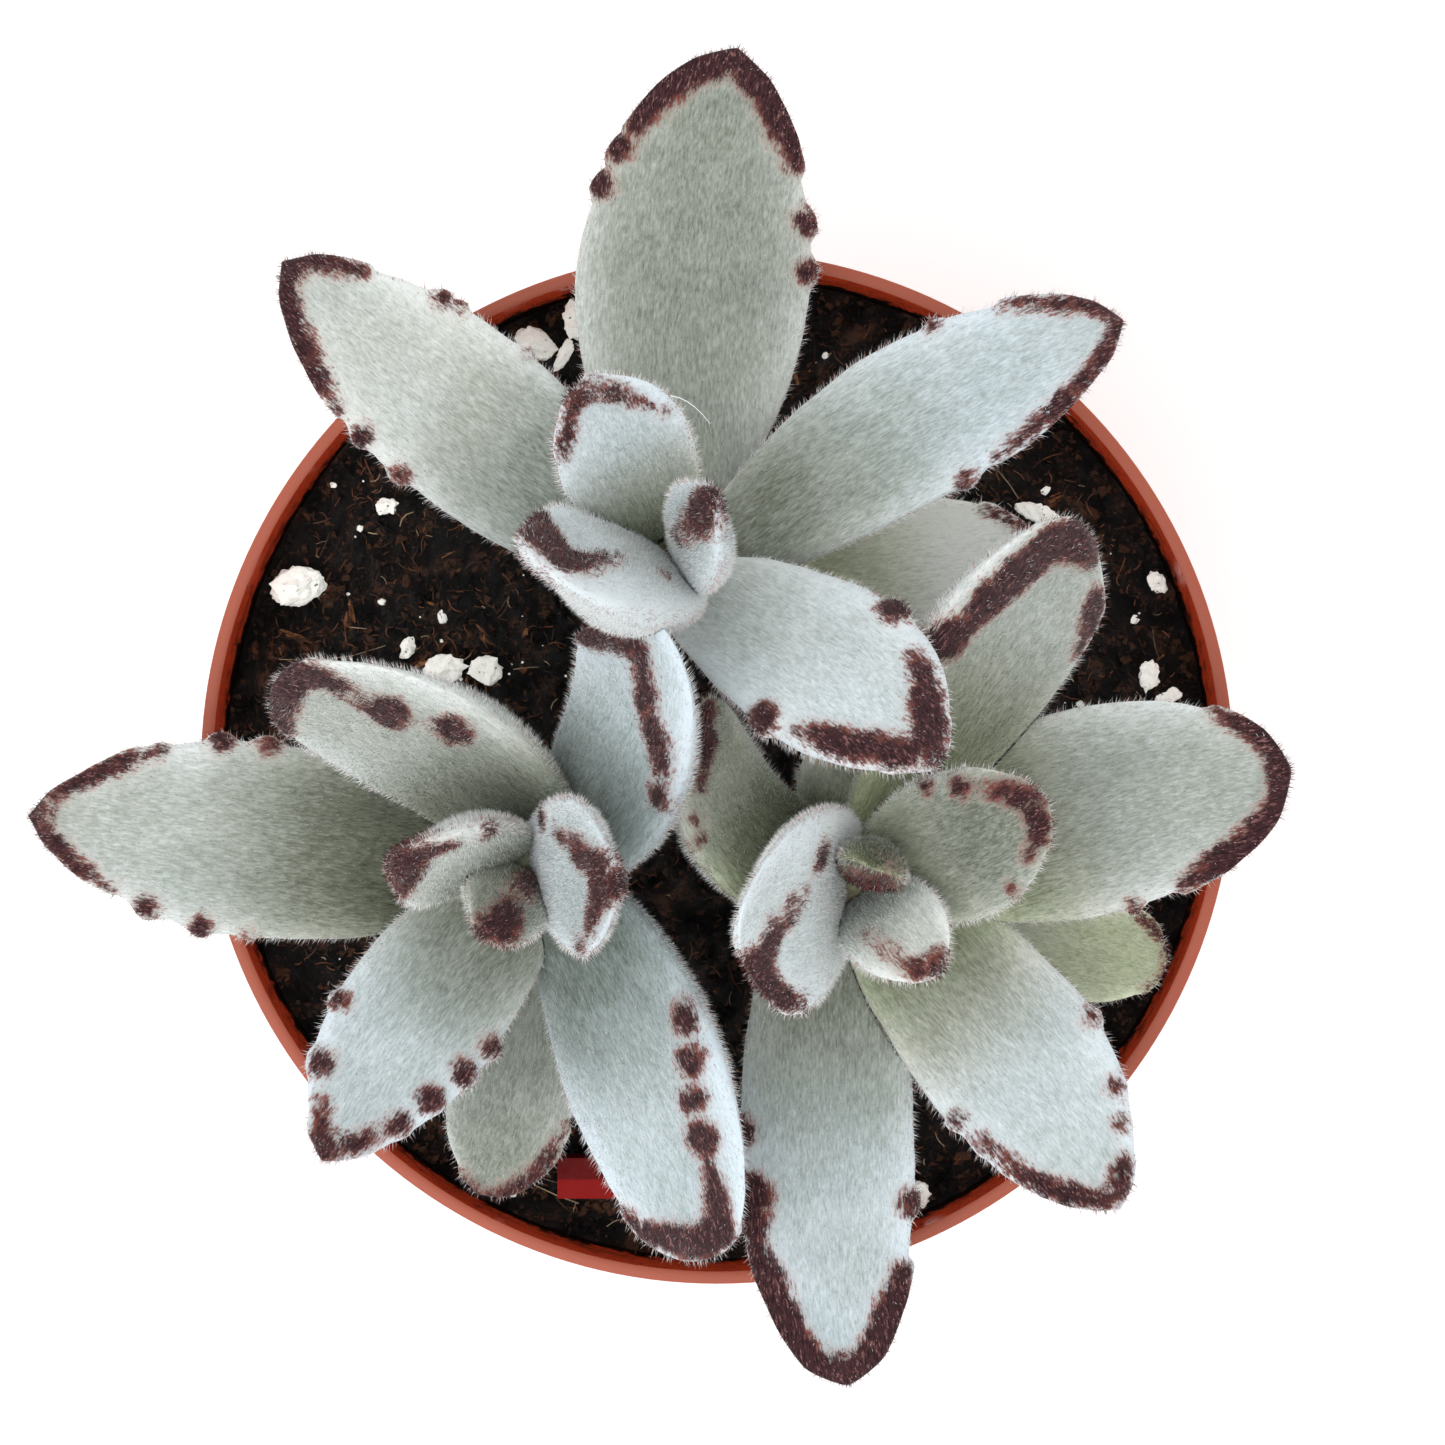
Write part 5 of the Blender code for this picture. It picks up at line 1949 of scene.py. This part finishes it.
    def lump_blank(self, lumpiness: float) -> tuple[np.ndarray, np.ndarray]:
        """Model one angular lump of unit radius.

        Args:
            lumpiness: how far its corners leave the ball.

        Returns:
            Its corners and its faces.
        """
        Bench.clear_selection()
        bpy.ops.mesh.primitive_ico_sphere_add(subdivisions=1, radius=1.0)
        corners, faces = Bench.blank_of(bpy.context.object)
        corners *= 1 + lumpiness * noise_at(corners, 0.6)[:, None]
        return corners, faces

    def crumb_blank(self) -> tuple[np.ndarray, np.ndarray]:
        """Model one sharp crumb of eight faces.

        Returns:
            Its corners and its faces.
        """
        Bench.clear_selection()
        bpy.ops.mesh.primitive_cylinder_add(vertices=3, radius=1.0, depth=1.5)
        wedge = bpy.context.object
        bpy.ops.object.mode_set(mode="EDIT")
        bpy.ops.mesh.select_all(action="SELECT")
        bpy.ops.mesh.quads_convert_to_tris()
        bpy.ops.object.mode_set(mode="OBJECT")
        return Bench.blank_of(wedge)

    @staticmethod
    def copies(
        blank: tuple[np.ndarray, np.ndarray],
        places: np.ndarray,
        sizes: np.ndarray,
        rng: np.random.Generator,
        tilt: float,
        turns: Sequence[float] = (),
    ) -> tuple[np.ndarray, np.ndarray]:
        """Copies of a blank at many places.

        Args:
            blank: the corners and faces of the modelled one.
            places: where each copy goes.
            sizes: each copy's three sizes.
            rng: the source of the random turns.
            tilt: the largest tilt out of the level, in radians.
            turns: each copy's direction in radians, or none for random ones.

        Returns:
            The corners and the faces of all copies.
        """
        corners, faces = blank
        made = []
        turns = turns if len(turns) else rng.uniform(0, 2 * math.pi, len(places))
        for place, size, turn in zip(places, sizes, turns):
            turned = Matrix.Rotation(rng.uniform(-tilt, tilt), 3, "X")
            turned = turned @ Matrix.Rotation(rng.uniform(-tilt, tilt), 3, "Y")
            turned = Matrix.Rotation(turn, 3, "Z") @ turned
            made.append((corners * size) @ np.array(turned).T + place)
        return np.concatenate(made), Bench.repeated(faces, len(corners), len(places))

    def scatter_crumbs(self, rng: np.random.Generator) -> None:
        """Loose crumbs of peat and bits of bark.

        Args:
            rng: the source of the random draws.
        """
        places = self.spots(self.crumb_count, rng, 0.9)
        turn = rng.uniform(0, 2 * math.pi, self.edge_crumb_count)
        edge = wall_radius(POT_HEIGHT - SOIL_DROP, True)
        edge = edge - rng.uniform(0.55, 2.0, self.edge_crumb_count)
        ring = np.column_stack((edge * np.cos(turn), edge * np.sin(turn), turn * 0))
        ring[:, 2] = self.relief(ring) + rng.uniform(0.0, 0.7, self.edge_crumb_count)
        places = np.vstack((places, ring))
        count = len(places)
        long = np.minimum(rng.gamma(1.5, 0.13, count) + 0.12, 1.0)
        long[self.crumb_count:] = np.minimum(long[self.crumb_count:], 0.5)
        sizes = np.column_stack((long, long * rng.uniform(0.3, 0.8, count), long * 0.6))
        blank, faces = self.crumb_blank()
        wobble = rng.uniform(0.7, 1.3, (count, len(blank), 3)).reshape(-1, 3)
        corners, numbers = self.copies((blank, faces), places, sizes, rng, 1.2)
        middles = np.repeat(places, len(blank), 0)
        piece = Bench.mesh_piece("peat_crumbs", middles + (corners - middles) * wobble, numbers)
        # each crumb is painted browner on its upper corners: painted light on its top
        self.carry_rise(piece, np.repeat(self.clods(places), len(blank)) + (corners - middles)[:, 2])
        mixed = rng.random(count) + 0.5 * noise_at(places, 2.2, 90.0)
        kinds = np.digitize(mixed, self.crumb_kinds)
        Bench.paint_faces(piece, np.repeat(kinds, len(faces)))
        finishes = (
            Peat("peat_dark"),
            Peat("peat_brown", brownness=0.14),
            Peat("peat_rust", black=to_linear(60, 34, 22), brown=to_linear(140, 84, 52)),
        )
        Bench.deliver(piece, piece.name, "peat_soil", [f.material() for f in finishes], crease=10.0)

    def fibre_blank(self) -> tuple[np.ndarray, np.ndarray]:
        """Model one fibre: a thin three-sided rod of unit length along X.

        Returns:
            Its corners and its faces, as triangles.
        """
        Bench.clear_selection()
        bpy.ops.mesh.primitive_cylinder_add(
            vertices=3, radius=1.0, depth=1.0, rotation=(0, math.pi / 2, 0)
        )
        rod = bpy.context.object
        bpy.ops.object.transform_apply(location=True, rotation=True, scale=True)
        bpy.ops.object.mode_set(mode="EDIT")
        bpy.ops.mesh.select_all(action="DESELECT")
        shape = bmesh.from_edit_mesh(rod.data)
        for edge in shape.edges:
            edge.select = abs(edge.verts[0].co.x - edge.verts[1].co.x) > 0.5
        bmesh.update_edit_mesh(rod.data)
        bpy.ops.mesh.subdivide(number_cuts=2)
        bpy.ops.mesh.select_all(action="SELECT")
        bpy.ops.mesh.quads_convert_to_tris()
        bpy.ops.object.mode_set(mode="OBJECT")
        return Bench.blank_of(rod)

    def scatter_fibres(self, rng: np.random.Generator) -> None:
        """Fibres and fine roots, each bent and laid on the soil.

        Args:
            rng: the source of the random draws.
        """
        corners, faces = self.fibre_blank()
        places = self.spots(self.fibre_count, rng, 2.5)
        made = []
        for place in places:
            length = 0.35 + rng.gamma(1.5, 0.5)
            thick = rng.uniform(0.025, 0.09)
            bend = rng.normal(0, 0.28)
            x = corners[:, 0] * length
            y = corners[:, 1] * thick + bend * length * (corners[:, 0] ** 2 - 0.08) * 2
            z = corners[:, 2] * thick + rng.normal(0, 0.12) * length * corners[:, 0]
            turn = rng.uniform(0, 2 * math.pi)
            c, s = math.cos(turn), math.sin(turn)
            made.append(np.column_stack((x * c - y * s, x * s + y * c, z)) + place + (0, 0, 0.25))
        faces_of_all = Bench.repeated(faces, len(corners), len(places))
        piece = Bench.mesh_piece("peat_fibres", np.concatenate(made), faces_of_all)
        kinds = rng.choice(len(self.fibre_shares), self.fibre_count, p=self.fibre_shares)
        Bench.paint_faces(piece, np.repeat(kinds, len(faces)))
        shades = (
            PlainFibre("fibre_dark", to_linear(40, 27, 20)),
            PlainFibre("fibre_brown", to_linear(88, 58, 40)),
            PlainFibre("fibre_orange", to_linear(138, 86, 54)),
            PlainFibre("fibre_pale", to_linear(190, 166, 136)),
        )
        Bench.deliver(piece, piece.name, "peat_soil", [s.material() for s in shades], crease=180.0)

    def lay_roots(self) -> None:
        """The few long pale roots that can be made out on the soil."""
        corners, faces = self.fibre_blank()
        made = []
        for from_x, from_y, to_x, to_y, thick in self.roots:
            along = np.array((to_x - from_x, to_y - from_y))
            length = float(np.linalg.norm(along))
            c, s = along / length
            x = corners[:, 0] * length
            y = corners[:, 1] * thick + 0.12 * length * (corners[:, 0] ** 2 - 0.08) * 2
            flat = np.column_stack((x * c - y * s, x * s + y * c, x * 0))
            flat += ((from_x + to_x) / 2, (from_y + to_y) / 2, 0)
            flat[:, 2] = self.relief(flat) + 0.5 + corners[:, 2] * thick
            made.append(flat)
        faces_of_all = Bench.repeated(faces, len(corners), len(made))
        piece = Bench.mesh_piece("peat_roots", np.concatenate(made), faces_of_all)
        pale = [bpy.data.materials["fibre_pale"]]
        Bench.deliver(piece, piece.name, "peat_soil", pale, crease=180.0)

    def scatter_slivers(self, rng: np.random.Generator) -> None:
        """Flat slivers of bark: some anywhere, and the splinters of each named chip.

        Args:
            rng: the source of the random draws.
        """
        places = self.spots(self.sliver_count, rng, 2.5) + (0, 0, 0.2)
        long = rng.uniform(0.2, 0.8, self.sliver_count)
        wide = long * rng.uniform(0.12, 0.35, self.sliver_count)
        sizes = np.column_stack((long, wide, long * 0.15))
        turns = rng.uniform(0, 2 * math.pi, self.sliver_count)
        chips = np.repeat(np.array(self.bark_chips), self.splinters, 0)
        across = rng.uniform(-0.5, 0.5, len(chips)) * chips[:, 3]
        along = rng.uniform(-0.25, 0.25, len(chips)) * chips[:, 2]
        way = np.radians(chips[:, 4])
        flat = np.column_stack(
            (
                chips[:, 0] + along * np.cos(way) - across * np.sin(way),
                chips[:, 1] + along * np.sin(way) + across * np.cos(way),
                np.zeros(len(chips)),
            )
        )
        flat[:, 2] = self.relief(flat) + rng.uniform(0.2, 0.6, len(chips))
        length = chips[:, 2] * rng.uniform(0.25, 0.5, len(chips))
        width = chips[:, 3] * rng.uniform(0.1, 0.28, len(chips))
        places = np.vstack((places, flat))
        sizes = np.vstack((sizes, np.column_stack((length, width, length * 0.12))))
        turns = np.concatenate((turns, way + rng.normal(0, 0.25, len(chips))))
        blank = self.lump_blank(0.4)
        corners, faces = self.copies(blank, places, sizes, rng, 0.3, turns)
        piece = Bench.mesh_piece("bark_slivers", corners, faces)
        kinds = rng.choice(2, len(places), p=(0.55, 0.45))
        Bench.paint_faces(piece, np.repeat(kinds, len(blank[1])))
        dark_bark, pale_bark = to_linear(58, 32, 20), to_linear(104, 60, 36)
        finishes = (
            Peat("bark", black=dark_bark, brown=to_linear(140, 84, 52), brownness=0.06),
            Peat("bark_pale", black=pale_bark, brown=to_linear(196, 130, 84), brownness=0.06),
        )
        Bench.deliver(piece, piece.name, "peat_soil", [f.material() for f in finishes], crease=20.0)

    def scatter_perlite(self, rng: np.random.Generator) -> None:
        """The small perlite grains between the large ones, and white dust.

        Args:
            rng: the source of the random draws.
        """
        named = np.array(self.small_perlite)
        dust = self.spots(self.dust_count, rng, 3.0)[:, :2]
        flat = np.vstack((named[:, :2], dust))
        places = np.column_stack((flat, np.zeros(len(flat))))
        places[:, 2] = self.relief(places) + 0.1
        small = 0.07 + rng.gamma(1.2, 0.07, (len(dust), 1))
        small = small * rng.uniform(0.7, 1.2, (len(dust), 3))
        large = np.column_stack((named[:, 2], named[:, 3], named[:, 2:4].min(1) * 0.7)) / 2
        sizes = np.vstack((large, small))
        corners, faces = self.copies(self.lump_blank(0.35), places, sizes, rng, 0.3)
        piece = Bench.mesh_piece("perlite_fines", corners, faces)
        stone = [bpy.data.materials["perlite_stone"]]
        Bench.deliver(piece, piece.name, "perlite", stone, crease=40.0)


@dataclass
class Perlite:
    """The large white grains, refined from their CAD nodes."""

    levels: int = 3
    lump: float = 0.32
    crackle: float = 0.16

    def build(self) -> None:
        """Refine each grain's copy and roughen it."""
        stone = PerliteStone().material()
        grains = sorted(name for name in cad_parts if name.startswith("perlite_"))
        for name in grains:
            grain = Bench.merged_copy(name)
            kind = {"subdivision_type": "SIMPLE", "levels": self.levels, "render_levels": self.levels}
            Bench.apply(grain, "SUBSURF", **kind)
            places = Bench.corners_of(grain)
            away = places - places.mean(0)
            away /= np.linalg.norm(away, axis=1, keepdims=True)
            raised = self.lump * (0.5 - 2 * np.abs(noise_at(places, 1.1)))
            raised += self.crackle * noise_at(places, 0.35)
            Bench.set_corners(grain, places + away * raised[:, None])
            Bench.deliver(grain, f"grain_{name[-2:]}", "perlite", [stone], [name], 35.0)


@dataclass
class Label:
    """The bare red plastic label."""

    def build(self) -> None:
        """Dress the CAD node itself."""
        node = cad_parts["plant_label"]
        node.data.materials.clear()
        node.data.materials.append(LabelPlastic().material())
        LOG.info("plant_label: dressed")


@dataclass
class Studio:
    """Pale floor, soft lights and the camera above the plant."""

    floor_size: float = 4.0
    dome: float = 0.95
    key_energy: float = 5.0
    key_size: float = 0.9

    def build(self) -> None:
        """Set the stage and the camera."""
        Bench.clear_selection()
        bpy.ops.mesh.primitive_plane_add(size=self.floor_size, location=(0, 0, -0.1 * MM))
        floor = bpy.context.object
        floor.name = "studio_floor"
        floor.data.materials.append(StudioFloor().material())
        world = bpy.data.worlds.new("studio_dome")
        bpy.context.scene.world = world
        world.use_nodes = True
        background = world.node_tree.nodes["Background"]
        background.inputs["Color"].default_value = (1.0, 1.0, 1.0, 1.0)
        background.inputs["Strength"].default_value = self.dome
        self.area_light("key", Vector((-0.3, -0.3, 1.0)), self.key_size, self.key_energy)
        self.camera()
        bpy.context.scene.view_settings.view_transform = "Standard"

    def area_light(self, name: str, place: Vector, size: float, energy: float) -> None:
        """A soft square light that looks at the plant.

        Args:
            name: its name.
            place: where it hangs, in metres.
            size: its side, in metres.
            energy: its power, in watts.
        """
        light = bpy.data.lights.new(name, "AREA")
        light.size, light.energy = size, energy
        lamp = bpy.data.objects.new(name, light)
        lamp.location = place
        target = Vector((0, 0, POT_HEIGHT * MM))
        lamp.rotation_euler = (target - place).to_track_quat("-Z", "Y").to_euler()
        bpy.context.scene.collection.objects.link(lamp)

    def camera(self) -> None:
        """The camera, looking straight down with +Y at the top of the picture."""
        lens = bpy.data.cameras.new("camera")
        lens.sensor_width = SENSOR_WIDTH
        lens.lens = SENSOR_WIDTH * FOCAL_PIXELS / PHOTO_WIDTH_PIXELS
        lens.clip_start, lens.clip_end = 0.01, 20.0
        camera = bpy.data.objects.new("camera", lens)
        x, y = CAMERA_PLACE
        camera.location = (x * MM, y * MM, (POT_HEIGHT + CAMERA_ABOVE_RIM) * MM)
        bpy.context.scene.collection.objects.link(camera)
        bpy.context.scene.camera = camera


def main() -> None:
    """Build and dress every piece, then set the stage."""
    logging.basicConfig(level=logging.INFO, format="%(name)s %(message)s")
    for part in (Pot(), Perlite(), Soil(), Stems(), Label(), Foliage(), Studio()):
        part.build()


if __name__ == "__main__":
    main()
